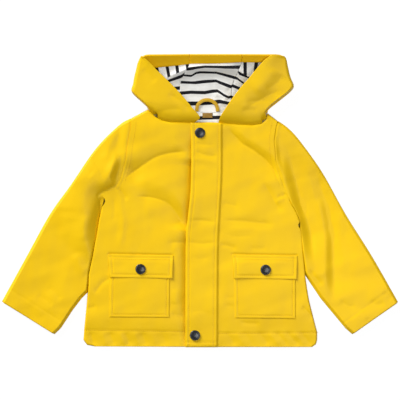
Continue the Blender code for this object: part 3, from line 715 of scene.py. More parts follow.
def woven(material, shader, spot, pitch_mm, strength, grain_mm):
    """Bump of crossing threads and a softer grain over them."""
    threads = []
    for direction in ("X", "Y"):
        wave = node_added(material, "TexWave",
                          {"bands_direction": direction,
                           "Scale": WAVE_WIDTH / (pitch_mm * MM) / 2,
                           "Distortion": 0.6, "Detail": 1.0}, {"Vector": spot})
        threads.append(wave.outputs["Fac"])
    weave = node_added(material, "Math", {"operation": "MULTIPLY"})
    for socket, thread in zip(weave.inputs, threads):
        material.node_tree.links.new(thread, socket)
    fine = node_added(material, "Bump",
                      {"Strength": strength, "Distance": 0.1 * MM},
                      {"Height": weave.outputs["Value"]})
    grain = node_added(material, "TexNoise",
                       {"Scale": 1.0 / (grain_mm * MM), "Detail": 3.0}, {"Vector": spot})
    soft = node_added(material, "Bump",
                      {"Strength": strength, "Distance": 0.5 * MM},
                      {"Height": grain.outputs["Fac"], "Normal": fine.outputs["Normal"]})
    material.node_tree.links.new(soft.outputs["Normal"], shader.inputs["Normal"])


def surfaced(name, base, roughness, mottle, weave=None, turned=0.0, **settings):
    """A mottled material, woven if it has threads, which may be turned."""
    material, shader = new_material(name, base, roughness, **settings)
    spot = mottled(material, shader, *mottle)
    if turned:
        spot = node_added(material, "Mapping", {"Rotation": (0.0, 0.0, turned)},
                          {"Vector": spot}).outputs["Vector"]
    if weave:
        woven(material, shader, spot, *weave)
    return material


def coated_cloth(name, dark, light):
    """Polyester cloth with a polyurethane coat: satin, and smooth but for a
    trace of the weave. Threads are 0.4 mm apart, drawn at 0.9 mm to show."""
    return surfaced(name, light, 0.45, (dark, light, 42.0, (0.40, 0.50)), (0.9, 0.10, 5.0),
                    Specular_IOR_Level=0.18)


def striped_jersey():
    """Cotton jersey with navy stripes knitted in: soft, matt, a little fuzzy.
    Ribs are 0.8 mm apart, drawn at 1.3 mm to show."""
    material, shader = new_material("cotton_jersey", "#e9e9e2", 0.9, Specular_IOR_Level=0.2,
                                    Sheen_Weight=0.15, Sheen_Roughness=0.5)
    links = material.node_tree.links
    stripe = node_added(material, "UVMap", {"uv_map": "stripes"})
    split = node_added(material, "SeparateXYZ", links={"Vector": stripe.outputs["UV"]})
    fraction = node_added(material, "Math", {"operation": "PINGPONG"},
                          {0: split.outputs["Y"]})
    fraction.inputs[1].default_value = 0.5
    edge = node_added(material, "MapRange",
                      {"From Min": 0.140, "From Max": 0.175, "interpolation_type": "SMOOTHSTEP"},
                      {"Value": fraction.outputs["Value"]})
    spot = node_added(material, "TexCoord").outputs["Object"]
    fuzz = node_added(material, "TexNoise", {"Scale": 1.0 / (6.0 * MM), "Detail": 4.0},
                      {"Vector": spot}).outputs["Fac"]
    mixed = node_added(material, "Mix", {"data_type": "RGBA"})
    links.new(edge.outputs["Result"], mixed.inputs["Factor"])
    links.new(blended(material, fuzz, "#0f0f14", "#1b1b21"), mixed.inputs[6])
    links.new(blended(material, fuzz, "#efefeb", "#fafaf7"), mixed.inputs[7])
    links.new(mixed.outputs[2], shader.inputs["Base Color"])
    woven(material, shader, spot, 1.3, 0.35, 2.5)
    return material


COATED = coated_cloth("polyurethane_coated_polyester", "#f0c208", "#f3c60a")
# The facing: the same coated cloth painted lighter, as painted light that lifts the shade its
# steep slope inside the hood puts it in.
FACING_PAINTED_LIGHT = coated_cloth("coated_polyester_facing_painted_light", "#fcc209", "#ffc80c")
# The strap: the same coated cloth painted darker, as painted shade for the shadow the hood's wings
# cast on it.
STRAP_PAINTED_SHADE = coated_cloth("coated_polyester_strap_painted_shade", "#c99f26", "#d2a82e")
# The bare back of the coated cloth: matt, paler, with a visible weave.
BACKING = surfaced("polyester_backing", "#dcc878", 0.85,
                   ("#d6c070", "#e2ce82", 30.0, (0.82, 0.90)), (1.2, 0.2, 3.0),
                   Specular_IOR_Level=0.2)
JERSEY = striped_jersey()
# Twill tape: tan, matt, with slanting ribs 1 mm apart, drawn at 1.6 mm.
TAPE = surfaced("twill_tape", "#9a7634", 0.8, ("#8e6b2c", "#a37f40", 4.0, (0.75, 0.85)),
                (1.6, 0.5, 2.0), turned=0.9, Specular_IOR_Level=0.25)
# Brass press studs under near-black lacquer: smooth, with a soft glint.
LACQUER = surfaced("lacquered_brass", "#1d2024", 0.3, ("#1a1c20", "#24272c", 3.0, (0.26, 0.36)),
                   Metallic=0.35, Coat_Weight=0.5, Coat_Roughness=0.15)
# Spun polyester thread: dyed to match, a shade deeper than the cloth.
THREAD = surfaced("polyester_thread", "#dcab10", 0.6, ("#d2a00c", "#e2b214", 2.0, (0.55, 0.65)))


def linked(name, data):
    """A new object in the scene."""
    thing = bpy.data.objects.new(name, data)
    bpy.context.scene.collection.objects.link(thing)
    return thing


def mesh_object(name, bm, materials, smooth=True):
    """A new object in the scene, with a mesh made from bm."""
    mesh = bpy.data.meshes.new(name + "_mesh")
    bm.to_mesh(mesh)
    bm.free()
    if smooth:
        mesh.shade_smooth()
    for material in materials:
        mesh.materials.append(material)
    return linked(name, mesh)


def add_piece(name, bm, materials, slot, *nodes):
    """Put a mesh in the scene, riding on the coat and standing for its nodes."""
    piece = mesh_object(name, bm, materials)
    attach(piece, "root")
    if nodes:
        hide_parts(*nodes)
    return piece


def grid_mesh(columns, rows, place):
    """A grid whose corners are moved to their places."""
    bm = bmesh.new()
    bmesh.ops.create_grid(bm, x_segments=columns, y_segments=rows, size=1.0)
    shares = np.array([vert.co[:2] for vert in bm.verts]) / 2.0 + 0.5
    shares = np.clip(shares, 0.0, 1.0)
    for vert, spot in zip(bm.verts, place(shares[:, 0], shares[:, 1])):
        vert.co = Vector(spot) * MM
    return bm


def turn_faces(bm, outside):
    """Turn the faces up, down or out."""
    centre = sum((vert.co for vert in bm.verts), Vector()) / len(bm.verts)
    facing = 0.0
    for face in bm.faces:
        if outside == "out":
            facing += face.normal.dot(face.calc_center_median() - centre) * face.calc_area()
        else:
            facing += face.normal.z * face.calc_area()
    if (facing < 0.0) != (outside == "down"):
        bmesh.ops.reverse_faces(bm, faces=bm.faces)


def number_stripes(bm, stripes):
    """Give each corner of a face its stripe's number, for the jersey to read."""
    layer = bm.loops.layers.uv.new("stripes")
    faces = list(bm.faces)
    middles = np.array([face.calc_center_median()[:2] for face in faces]) / MM
    behind = np.repeat(stripes(middles, None), [len(face.loops) for face in faces])
    loops = [loop for face in faces for loop in face.loops]
    spots = np.array([loop.vert.co[:2] for loop in loops]) / MM
    for loop, value in zip(loops, stripes(spots, behind)):
        loop[layer].uv = (0.0, value)


def cloth(name, node, columns, rows, place, wall, outside="up", tube=False,
          materials=(COATED, BACKING), slot="coated_cloth", stripes=None):
    """A shell of cloth, thickened inwards from its outer face."""
    bm = grid_mesh(columns, rows, place)
    if tube:
        bmesh.ops.remove_doubles(bm, verts=bm.verts, dist=WELD)
    bm.normal_update()
    turn_faces(bm, outside)
    if stripes:
        number_stripes(bm, stripes)
    piece = add_piece(name, bm, materials, slot, node)
    solid = piece.modifiers.new("Wall", "SOLIDIFY")
    solid.thickness = wall * MM
    solid.offset = -1.0
    solid.use_quality_normals = True
    solid.material_offset = 1 if len(materials) > 1 else 0
    return piece


STITCH_LENGTH, STITCH_PITCH, STITCH_WIDTH = 2.4, 3.2, 0.55


def stitches(name, rows):
    """Rows of topstitching, each a path and the height of the cloth there."""
    bm = bmesh.new()
    for path, height in rows:
        count = max(2, int(path.length / STITCH_PITCH))
        shares = (np.arange(count) + 0.5) / count
        half = STITCH_LENGTH / 2 / path.length
        starts, ends = path.at(shares - half), path.at(shares + half)
        middles = (starts + ends) / 2
        rises = height(middles)
        slopes = height(ends) - height(starts)
        for start, end, middle, rise, slope in zip(starts, ends, middles, rises, slopes):
            run = Vector((*(end - start), slope))
            turn = Vector((1, 0, 0)).rotation_difference(run).to_matrix().to_4x4()
            size = Matrix.Diagonal((run.length / 2 * MM, STITCH_WIDTH / 2 * MM,
                                    STITCH_WIDTH / 2 * MM, 1.0))
            at = Matrix.Translation(Vector((*middle, rise + STITCH_WIDTH * 0.2)) * MM)
            bmesh.ops.create_icosphere(bm, subdivisions=1, radius=1.0, matrix=at @ turn @ size)
    return add_piece(name, bm, [THREAD], "coated_cloth")


def body_panel_edge(side):
    """A body panel's outer edge, from the hem to the shoulder."""
    return Path(joined(SIDE[side], UNDERARM[side], ARMHOLE[side]))


def front_surface(spots, side):
    """Outer face of a front panel, with its seams."""
    level = front_height(spots) + lift(FLAP_TROUGH_SHAPES, spots)
    away, _, share = ARMHOLE_PATHS[side].nearest(spots)
    shown = 0.10 + 0.90 * eased((0.50 - share) / 0.2)
    level -= shown * ARMHOLE_SEAM_DEPTH * bell(away, 1.2)
    level -= 0.22 * shown * bell(away - 5.2, 1.1)
    level += groove(HEM_STITCH_PATHS[side], spots, *HEM_GROOVE)
    level += groove(Path(POCKET_FLAPS[side][2:]), spots, *LID_GROOVE)
    return level - 0.9 * bell(Path(NECK[side]).nearest(spots)[0], 1.8)


# Above 1, the front's columns lie closer together near its side seam.
COLUMN_CROWDING = 1.3


def front(side):
    """A front panel, from its side seam and armhole to the centre front."""
    centre = CENTRE_FRONT + OUT[side] * SEAM_GAP / 2
    low_corner = (centre, HEM_LINE + 0.4)
    neck = [spot if spot[0] != CENTRE_FRONT else (centre, spot[1]) for spot in NECK[side]]
    inside = coons(Path([SIDE[side][0], low_corner]), Path(joined(SHOULDER[side], neck)),
                   body_panel_edge(side), Path([low_corner, neck[-1]]))
    side_seam = Path(SIDE[side])
    middle, half, gape = SLITS[side]

    def place(across, along):
        spots = inside(across ** COLUMN_CROWDING, along)
        near = np.exp(-side_seam.nearest(spots)[0] / SLIT_REACH)
        spots[:, 0] -= OUT[side] * gape * near * bell(spots[:, 1] - middle, half)
        return np.column_stack((spots, front_surface(spots, side)))

    piece = cloth("front_panel_" + side, "front_" + side, 88, 216, place, BODY_CLOTH)


def back():
    """The back panel, flat on the surface and turned up at its edges."""
    top = Path(joined(SHOULDER["right"], BACK_NECK, SHOULDER["left"][::-1]))
    bottom = Path([SIDE["right"][0], SIDE["left"][0]])
    inside = coons(bottom, top, body_panel_edge("right"), body_panel_edge("left"))

    def place(across, along):
        spots = inside(across, along)
        turned_up = 1 - rounded(folded_distance(spots), BACK_ROUND)
        return np.column_stack((spots, (SIDE_SEAM - 0.3) * turned_up))

    piece = cloth("back_panel", "back", 96, 110, place, BODY_CLOTH, outside="down")


SLEEVE_UNDER, SLEEVE_UPPER, NOSE_TURNS = 26, 66, 5


def sleeve_ring():
    """One round of a sleeve: the distance in from the outer edge as a fixed
    part and a share of the width, the height, and whether it is on top."""
    nose = SLEEVE_NOSE
    ring = [(nose * (1 - 2 * t), t, 0.0, False) for t in np.linspace(0, 1, SLEEVE_UNDER)]
    turns = np.radians(np.linspace(-90, 90, NOSE_TURNS + 2)[1:-1])
    ring += [(nose * (np.cos(turn) - 1), 1.0, nose + nose * np.sin(turn), False)
             for turn in turns]
    ring += [(nose * (1 - 2 * t), t, 2 * nose, True) for t in np.linspace(1, 0, SLEEVE_UPPER)]
    ring += [(nose * (1 - np.cos(turn)), 0.0, nose + nose * np.sin(turn), False)
             for turn in turns[::-1]]
    return np.array(ring, float)


def sleeve(side, rows=150):
    """A set-in sleeve pressed flat: a tube from the armhole to the cuff."""
    outer, inner = smooth_path(SLEEVE_OUTER[side]), Path(SLEEVE_INNER[side])
    hole = Path(ARMHOLE[side][::-1])
    ring = sleeve_ring()
    cuff = Path([edge.at(1.0 - CUFF_HEM / edge.length) for edge in (outer, inner)])
    rest, fall, low_fall = SEAM_REST[side]

    def seamed(top, spots):
        """The top, brought level with the front beside the armhole."""
        up = eased((spots[:, 1] - ARMPIT) / ARMPIT_LENGTH)
        away = ARM_SEAMS[side].nearest(spots)[0]
        seam = eased(1.0 - (away - rest * up) / mix(low_fall, fall, up))
        top = mix(top, front_level(spots) - 0.1, seam)
        away, _, share = ARMHOLE_PATHS[side].nearest(spots)
        return top - ARMHOLE_SEAM_DEPTH * bell(away, 1.6) * eased((0.5 - share) / 0.2), seam

    def place(around, along):
        ring_spot = ring[np.round(around * len(ring)).astype(int) % len(ring)]
        fixed, widths, level, upper = ring_spot.T
        start, end = outer.at(along), inner.at(along)
        width = np.linalg.norm(end - start, axis=1)
        distance = fixed + widths * width
        reach = distance / width
        near_hole = np.maximum(0.0, 1.0 - along / HOLE_SHARE) ** 2
        tucked = np.maximum(0.0, 1.0 - along * outer.length / TUCK_LENGTH)
        spots = mix(start, end, reach[:, None])
        spots += (bow(hole, reach) + (SEAM_SHIFT[side], 0.0)) * near_hole[:, None]
        spots[:, 0] -= OUT[side] * SLEEVE_TUCK * tucked

        inner_round = mix(SLEEVE_LOW_ROUND, SLEEVE_INNER_ROUND[side],
                          eased((spots[:, 1] - INNER_ROUND_FROM) / INNER_ROUND_LENGTH))
        inner_fall = rounded(width - SLEEVE_NOSE - distance, inner_round)
        below_arm = eased((along - UNDERARM_SHARE[side]) / 0.05)
        shape = rounded(distance - SLEEVE_NOSE, SLEEVE_OUTER_ROUND)
        shape *= 1.0 - (1.0 - inner_fall) * below_arm

        top = SLEEVE_TOP + lift(SLEEVE_SHAPES[side], spots)
        top -= SLEEVE_SAG[side] * (eased(distance / SAG_DEEPEST)
                                   - eased((distance - SAG_DEEPEST) / SAG_BEYOND))
        top, seam = seamed(top + groove(cuff, spots, *CUFF_GROOVE), spots)
        under_front = np.maximum(0.0, 1 - (width - distance) / UNDER_FRONT) * (1 - below_arm)
        top += uneven(spots) * (1 - seam) - SLEEVE_TUCK_DROP * np.maximum(tucked, under_front)
        # Below, the seam's end lies over the back panel, not level with it.
        low = np.where(level < 0.5, SLEEVE_TUCK_DROP * tucked, 0.0)
        rise = np.where(upper > 0, (np.maximum(top, LOWEST_SLEEVE) - level) * shape, low)
        return np.column_stack((spots, level + rise))

    piece = cloth("sleeve_shell_" + side, "sleeve_" + side, len(ring), rows, place, BODY_CLOTH,
                  outside="out", tube=True)


HOOD_HEM_STEPS, WING_STEPS, ROLL_STEPS, FLOOR_STEPS = 5, 46, 20, 24


def hood_columns(side):
    """The table of a hood side, read between its rows by a smooth curve."""
    table = np.array(HOOD_ROWS[side], float)
    shares = table[:, 0]
    slopes = np.gradient(table[:, 1:], shares, axis=0)

    def read(share):
        row = np.clip(np.searchsorted(shares, share, side="right") - 1, 0, len(shares) - 2)
        span = (shares[row + 1] - shares[row])[:, None]
        t = ((share - shares[row])[:, None]) / span
        low, high = table[row, 1:], table[row + 1, 1:]
        return ((2 * t ** 3 - 3 * t ** 2 + 1) * low
                + (t ** 3 - 2 * t ** 2 + t) * span * slopes[row]
                + (3 * t ** 2 - 2 * t ** 3) * high + (t ** 3 - t ** 2) * span * slopes[row + 1])

    return read


HOOD_READ = {side: hood_columns(side) for side in SIDES}


def hood_section(side, share):
    """Front edge, its height, fold, its height, seam, floor and roll."""
    values = HOOD_READ[side](share)
    edge, fold, seam = values[:, 0:2], values[:, 3:5], values[:, 6:8]
    edge_height, top, roll = values[:, 2], values[:, 5], values[:, 8]
    floor = line_at(HOOD_CLIMB, share)
    roll = np.minimum(roll, np.maximum((top - floor) / 2, 0.6 * roll - 3.0))
    roll = np.minimum(roll, 0.45 * np.linalg.norm(edge - fold, axis=1))
    return edge, edge_height, fold, top, seam, floor, roll


def hood_floor(side):
    """The part of a side panel that lies below, from its fold to the seam."""
    forehead = Path(FOREHEAD[side])
    gap = OUT[side] * SEAM_GAP / 2

    def place(across, share):
        edge, _, fold, _, seam, floor, roll = hood_section(side, share)
        start = fold + unit(edge - fold) * roll[:, None]
        near_edge = np.maximum(0.0, (share - 0.7) / 0.3) ** 2
        spots = start + (seam + (gap, 0.0) - start) * across[:, None]
        spots += bow(forehead, across) * near_edge[:, None]
        return np.column_stack((spots, floor))

    return place


# The wing's length up from the neck, and what the neck seam pulls it down, back
# and over which length; its hem's radius, and how far the hem runs back inside.
WING_LENGTH = 120.0
NECK_PULL_DOWN, NECK_PULL_BACK, NECK_PULL_LENGTH = 3.2, 2.2, 2.0
HOOD_HEM_RADIUS, HOOD_HEM_DEPTH = 0.9, 4.0


def hood_side(side):
    """A side panel: its wing lies over, rolls at the fold and runs under."""
    neck = Path(HOOD_NECK[side])
    floor_place = hood_floor(side)
    low_edge, _, low_fold, _, _, _, low_roll = hood_section(side, np.zeros(1))
    low_end = low_fold + unit(low_edge - low_fold) * low_roll
    neck_share = 1.0 - low_roll[0] / neck.length
    hem_end, wing_end, roll_end, last = np.cumsum((HOOD_HEM_STEPS, WING_STEPS, ROLL_STEPS,
                                                   FLOOR_STEPS))
    falls = WING_FALL[side]
    nick_at, nick_half, nick = NECK_NICKS[side]

    def to_neck(reach):
        """From the straight line along the neck to the neck's own line."""
        straight = low_edge * (1 - reach[:, None]) + low_end * reach[:, None]
        return neck.at(reach * neck_share) - straight

    def place(across, along):
        step = np.round(across * last)
        edge, edge_height, fold, top, _, floor, roll = hood_section(side, along)
        inward = unit(edge - fold)
        near_neck = np.maximum(0.0, 1.0 - along / 0.3) ** 2

        # The wing, from its front edge to where the fold starts to roll.
        reach = np.clip((step - hem_end) / WING_STEPS, 0.0, 1.0)
        off_fold = 1 - reach ** 20
        spots = (mix(edge, fold + inward * roll[:, None], reach[:, None])
                 + to_neck(reach) * near_neck[:, None])
        level = mix(edge_height, top, eased((reach - falls) / (1 - falls)))
        level += lift(HOOD_SHAPES[side], spots) * off_fold
        from_neck = along * WING_LENGTH
        level -= NECK_PULL_DOWN * bell(from_neck, NECK_PULL_LENGTH)
        spots[:, 1] -= NECK_PULL_BACK * np.maximum(0.0, 1 - from_neck / NECK_PULL_LENGTH)
        drawn = np.exp(-((reach - nick_at) / nick_half) ** 2 - (from_neck / 5.0) ** 2)
        spots += (drawn * off_fold)[:, None] * nick
        wing = np.column_stack((spots, level))

        # The hem, turned under at the front edge.
        turn = math.pi * (1 - step / hem_end)
        inset_by = (HOOD_HEM_RADIUS * np.sin(turn)
                    - HOOD_HEM_DEPTH * np.maximum(0.0, 1 - step * 2 / hem_end))
        hem = np.column_stack((edge + inward * inset_by[:, None],
                               level - HOOD_HEM_RADIUS * (1 - np.cos(turn))))

        # The roll at the fold, which is pressed to a lip near the neck.
        angle = math.pi / 2 - math.pi * (step - wing_end) / ROLL_STEPS
        above = angle > 0
        left_over = np.clip(angle / (math.pi / 2), 0.0, 1.0)
        lip = WING_LIP[side] * eased((0.48 - along) / 0.2)
        inwards = mix(1 - np.cos(angle), left_over, lip * above)
        over = (1 - np.cos(angle)) * above * near_neck
        height = (top + floor) / 2 + (top - floor) / 2 * np.sin(angle)
        bent = np.where(above, mix(floor + LIP_HEIGHT, top, left_over ** 3),
                        floor + LIP_HEIGHT * (1 + np.sin(angle)))
        rolled = np.column_stack((
            fold + inward * (roll * inwards)[:, None] + to_neck(np.ones(1)) * over[:, None],
            mix(height, bent, lip)))

        under = floor_place(np.clip((step - roll_end) / FLOOR_STEPS, 0.0, 1.0), along)
        spot = np.where((step < hem_end)[:, None], hem, wing)
        spot = np.where((step > wing_end)[:, None], rolled, spot)
        return np.where((step > roll_end)[:, None], under, spot)

    piece = cloth("hood_side_" + side, "hood_" + side, last, 120, place, HOOD_CLOTH,
                  outside="out")


def hood_centre_place(across, share):
    """The hood's centre piece, between the two seams."""
    right, left = hood_section("right", share), hood_section("left", share)
    gap = np.array((SEAM_GAP / 2, 0.0))
    across = across[:, None]
    spots = (right[4] + gap) * (1 - across) + (left[4] - gap) * across
    return np.column_stack((spots, right[5]))


def stripe_count(lines, spots):
    """Stripes passed on the way up to each spot, and the share to the next."""
    heights = np.array([line_at(line, spots[:, 0]) for line in lines])
    below = np.clip((heights <= spots[:, 1]).sum(axis=0) - 1, 0, len(lines) - 2)
    row = np.arange(len(spots))
    low, high = heights[below, row], heights[below + 1, row]
    return below + (spots[:, 1] - low) / np.maximum(high - low, 0.5)


def upright_count(panel, spots):
    """The same for the stripes that stand on end behind the ridge."""
    stripes, leans = np.array(BAND_STRIPES[panel], float).T
    depth = (BAND_TOP - spots[:, 1]) / BAND_DEPTH
    return np.interp(spots[:, 0] - depth * np.interp(spots[:, 0], stripes, leans),
                     stripes, np.arange(len(stripes)))


def lining_stripes(panel):
    """Where a lining panel's stripes run: along their lines before the ridge,
    and on end in the deep band behind it on the side panels."""
    lines = CENTRE_STRIPES if panel == "centre" else SIDE_STRIPES[panel]

    def count(spots, behind):
        if behind is None:
            return spots[:, 1] > line_at(RIDGE_LINE, spots[:, 0])
        value = stripe_count(lines, spots)
        return value if panel == "centre" else np.where(behind, upright_count(panel, spots), value)

    return count


FACING_LIFT = 0.6
LINING_LIFT = HOOD_CLOTH + FACING_LIFT + SEAM_GAP + JERSEY_CLOTH
# Share of the facing's length that is flat; the rest turns over the edge.
FACING_FLAT, FACING_TURN = 0.86, 1.2
PANEL_WIDTH, SEAM_DIP_WIDTH = 70, 1.2


def hood_inside(panel, place, first, columns):
    """Lining and facing of one hood panel, inside its wall."""
    inner = moved_out(place, LINING_LIFT)

    def split(across):
        """Share of the way up where the lining ends and the facing starts."""
        return line_at(FACING_EDGE, place(across, np.full_like(across, 0.85))[:, 0])

    def seam_dip(across):
        return 0.5 * bell((1 - across) * PANEL_WIDTH, SEAM_DIP_WIDTH) * (panel != "centre")

    def lining_place(across, along):
        across = mix(first, 1, across)
        spots = inner(across, along * split(across))
        spots[:, 2] -= seam_dip(across)
        spots[:, 2] += lift(RIDGE_SHAPES, spots[:, :2])
        return spots

    def facing_place(across, along):
        start = split(across) - 0.012
        turn = np.clip((along - FACING_FLAT) / (1 - FACING_FLAT), 0.0, 1.0) * math.pi
        flat = np.clip(along / FACING_FLAT, 0.0, 1.0)
        spots = inner(across, mix(start, 1.0, flat))
        spots[:, 1] += FACING_TURN * np.sin(turn) * (turn > 0) - 0.8
        spots[:, 2] -= FACING_TURN * (1 - np.cos(turn)) - 0.4 * (1 - flat) - 0.3
        spots[:, 2] -= 0.8 * bell(flat, 0.06)
        spots[:, 2] -= seam_dip(across)
        return spots

    lining = cloth("hood_jersey_" + panel, "hood_lining_" + panel, columns, 84, lining_place,
                   JERSEY_CLOTH, materials=(JERSEY,), slot="lining_jersey",
                   stripes=lining_stripes(panel))
    # The facing wears the coated cloth painted lighter: painted light against the shade inside the
    # hood.
    facing = cloth("hood_rim_facing_" + panel, "hood_facing_" + panel, columns, 26, facing_place,
                   FACING_CLOTH, materials=(FACING_PAINTED_LIGHT, BACKING))


def hood():
    """Two side panels, the centre panel between them, and what lines them."""
    for side in SIDES:
        hood_side(side)
    centre = cloth("hood_centre_panel", "hood_centre", 40, 100, hood_centre_place, HOOD_CLOTH,
                   outside="down")
    hood_inside("right", hood_floor("right"), 0.06, 60)
    hood_inside("left", hood_floor("left"), 0.06, 60)
    hood_inside("centre", hood_centre_place, 0.0, 66)


def inset(path, distance, direction):
    """A path moved sideways, to the left for a positive direction."""
    runs = np.gradient(path.points, axis=0)
    sideways = unit(np.column_stack((-runs[:, 1], runs[:, 0])))
    return Path(path.points + sideways * distance * direction)


def storm_flap():
    """The flap down the centre front, sewn to the left front."""
    free_edge, seam = smooth_path(FLAP_FREE_EDGE), smooth_path(FLAP_SEAM)

    def outline(across, along):
        spots = (free_edge.at(along) * (1 - across[:, None])
                 + seam.at(along) * across[:, None])
        top = FLAP_TOP[0] * (1 - across) + FLAP_TOP[1] * across
        spots[:, 1] = HEM_LINE + 0.2 + (top - HEM_LINE) * along
        return spots

    def height(spots):
        free, sewn = free_edge.nearest(spots)[0], seam.nearest(spots)[0]
        stand = mix(FLAP_RIM, FLAP_STAND, rounded(free, 2.4))
        stand *= 0.12 + 0.88 * eased(sewn / 3.4)
        stand -= 0.4 * bell(free - FREE_ROW, 1.2)
        stand -= 0.3 * bell(sewn - SEAM_ROW, 1.2)
        hem = spots[:, 1] - HEM_LINE
        stand -= 0.4 * bell(hem - HEM_ROW, 1.3) + 0.9 * bell(hem, 1.5)
        return front_height(spots) + stand - 0.8 * bell(NECK_LINE - spots[:, 1], 2.2)

    def place(across, along):
        bent = 0.5 - 0.5 * np.cos(across * math.pi)
        spots = outline(0.35 * across + 0.65 * bent, along)
        return np.column_stack((spots, height(spots)))

    piece = cloth("storm_flap_panel", "storm_flap", 48, 210, place, FLAP_CLOTH)
    rows = [inset(free_edge, FREE_ROW, -1), inset(seam, SEAM_ROW, 1),
            Path([(-16, HEM_LINE + HEM_ROW), (22, HEM_LINE + HEM_ROW)])]
    return [(row, height) for row in rows], height


def panel_spots(corners):
    """Spots on a four-cornered piece."""
    low_side, low_centre, high_centre, high_side = (np.array(spot, float) for spot in corners)

    def spots(across, along):
        across, along = across[:, None], along[:, None]
        low = low_side * (1 - across) + low_centre * across
        high = high_side * (1 - across) + high_centre * across
        return low * (1 - along) + high * along

    return spots


def crowded(share):
    """Grid lines drawn closer together near both ends."""
    return 0.55 * share + 0.45 * (0.5 - 0.5 * np.cos(share * math.pi))


# A four-cornered piece's edges, each named by its first corner's place.
SIDES_AND_LOW, TOP_EDGE = (3, 0, 1), (2,)


def edge_ends(corners, at):
    """Both ends of one of a four-cornered piece's edges."""
    return corners[at], corners[(at + 1) % 4]


def edge_distance(corners, spots, which):
    """Distance in from some of a four-cornered piece's edges."""
    return np.min([Path(edge_ends(corners, at)).nearest(spots)[0] for at in which], axis=0)


# Distances of the rows of stitching from a pocket's and its flap's edges.
POCKET_STITCH, LID_STITCH, LID_TOP_STITCH = 5.0, 5.4, 7.0
POCKET_STAND, POCKET_RIM = 0.8, 0.15


def edge_row(corners, at, distance, trimmed):
    """A line beside an edge, from one crossing row to the next if trimmed."""
    ends = np.array(edge_ends(corners, at), float)
    run = ends[1] - ends[0]
    length = np.linalg.norm(run)
    normal = np.array((-run[1], run[0])) / length
    normal *= np.sign(normal @ (np.mean(np.array(corners, float), axis=0) - ends.mean(axis=0)))
    if trimmed:
        ends = ends + np.array((run, -run)) / length * distance
    return Path(ends + normal * distance)


def pocket(side):
    """A patch pocket, the flap over it, and their stitching."""
    body, lid = POCKETS[side], POCKET_FLAPS[side]

    def body_height(spots):
        sewn = edge_distance(body, spots, SIDES_AND_LOW)
        swell = 0.35 * eased((sewn - 5.0) / 30.0)
        stand = mix(POCKET_RIM, POCKET_STAND, rounded(sewn, 1.6)) + swell
        stand -= 0.3 * bell(sewn - POCKET_STITCH, 1.2)
        return front_height(spots) + stand

    def lid_height(spots):
        top = edge_distance(lid, spots, TOP_EDGE)
        free = edge_distance(lid, spots, SIDES_AND_LOW)
        stand = 0.7 * eased((top + 0.3) / 1.0) + 1.15 * eased((top - 0.5) / 14.0)
        stand -= 0.30 * (1 - rounded(free, 1.0))
        stand -= 0.30 * bell(top - 5.0, 1.3)
        stand -= 0.40 * bell(free - LID_STITCH, 1.4)
        corner = np.min([np.linalg.norm(spots - np.array(spot), axis=1) for spot in lid[:2]],
                        axis=0)
        return front_height(spots) + stand + 0.5 * bell(corner, 16.0)

    for name, node, corners, height, resolution, wall in (
            ("patch_pocket_", "pocket_", body, body_height, (80, 78), FLAP_CLOTH),
            ("pocket_lid_", "pocket_flap_", lid, lid_height, (84, 40), LID_CLOTH)):
        spots_at = panel_spots(corners)

        def place(across, along, spots_at=spots_at, height=height):
            spots = spots_at(crowded(across), crowded(along))
            return np.column_stack((spots, height(spots)))

        cloth(name + side, node + side, *resolution, place, wall)
    rows = [(edge_row(body, at, POCKET_STITCH, at == 0), body_height) for at in SIDES_AND_LOW]
    rows += [(edge_row(lid, at, LID_STITCH, True), lid_height) for at in SIDES_AND_LOW]
    rows += [(edge_row(lid, at, LID_TOP_STITCH, True), lid_height) for at in TOP_EDGE]
    return rows, lid_height(np.array([SNAPS["snap_pocket_" + side]], float))[0]


def in_box(box, across, along):
    """X and Y of spots in a box, by their shares across and along it."""
    x0, x1, y0, y1 = box
    return mix(x0, x1, across), mix(y0, y1, along)


def neck_stripes(spots, behind):
    """The neck lining's stripes, which slant a little, none on end."""
    if behind is None:
        return np.zeros(len(spots))
    return (spots[:, 1] - 133.0 - 0.03 * spots[:, 0]) / 18.5


def neck_pieces():
    """Back neck lining, the bare tape label and the strap to hang it by."""
    level = BODY_CLOTH + 2.4

    def lining_place(across, along):
        x, y = in_box(NECK_LINING, across, along)
        return np.column_stack((x, y, np.full_like(x, level) + 0.4 * np.sin(x / 9.0)))

    def label_place(across, along):
        x, y = in_box(LABEL, across, along)
        return np.column_stack((x, y, level + 1.1 + 0.5 * np.sin(across * math.pi)))

    lining = cloth("neck_jersey", "neck_lining", 60, 20, lining_place, JERSEY_CLOTH,
                   materials=(JERSEY,), slot="lining_jersey", stripes=neck_stripes)
    label = cloth("tape_label", "label", 20, 12, label_place, TAPE_CLOTH, materials=(TAPE,),
                  slot="label_tape")
    hanger_loop()


LOOP_WIDTH, LOOP_THICKNESS, LOOP_ARCH = 5.6, 1.9, 1.6


def squared(wave, power):
    """A wave with fuller crests, for a section between round and square."""
    return np.sign(wave) * np.abs(wave) ** power


def hanger_loop():
    """A folded strap, arched over the lining, with a groove along each edge."""
    path = smooth_path(LOOP_PATH)
    floor = LINING_LIFT + 0.5

    def place(around, along):
        before, here, after = (path.at(np.clip(along + step, 0.0, 1.0))
                               for step in (-0.02, 0.0, 0.02))
        run = unit(after - before)
        sideways = np.column_stack((-run[:, 1], run[:, 0]))
        angle = 2 * math.pi * around
        flat, round_up = squared(np.cos(angle), 0.6), squared(np.sin(angle), 0.7)
        spots = here + sideways * (LOOP_WIDTH / 2 * flat)[:, None]
        rise = LOOP_ARCH * np.sin(math.pi * along)
        dip = 0.35 * bell(np.abs(flat) - 0.55, 0.12) * (round_up > 0)
        return np.column_stack((spots, floor + rise + LOOP_THICKNESS / 2 * (1 + round_up) - dip))

    # The strap wears the coated cloth painted darker: painted shade for the wings' shadow over it.
    piece = cloth("hanging_strap", "hanger_loop", 36, 64, place, STRAP_CLOTH, outside="out",
                  tube=True, materials=(STRAP_PAINTED_SHADE, BACKING))


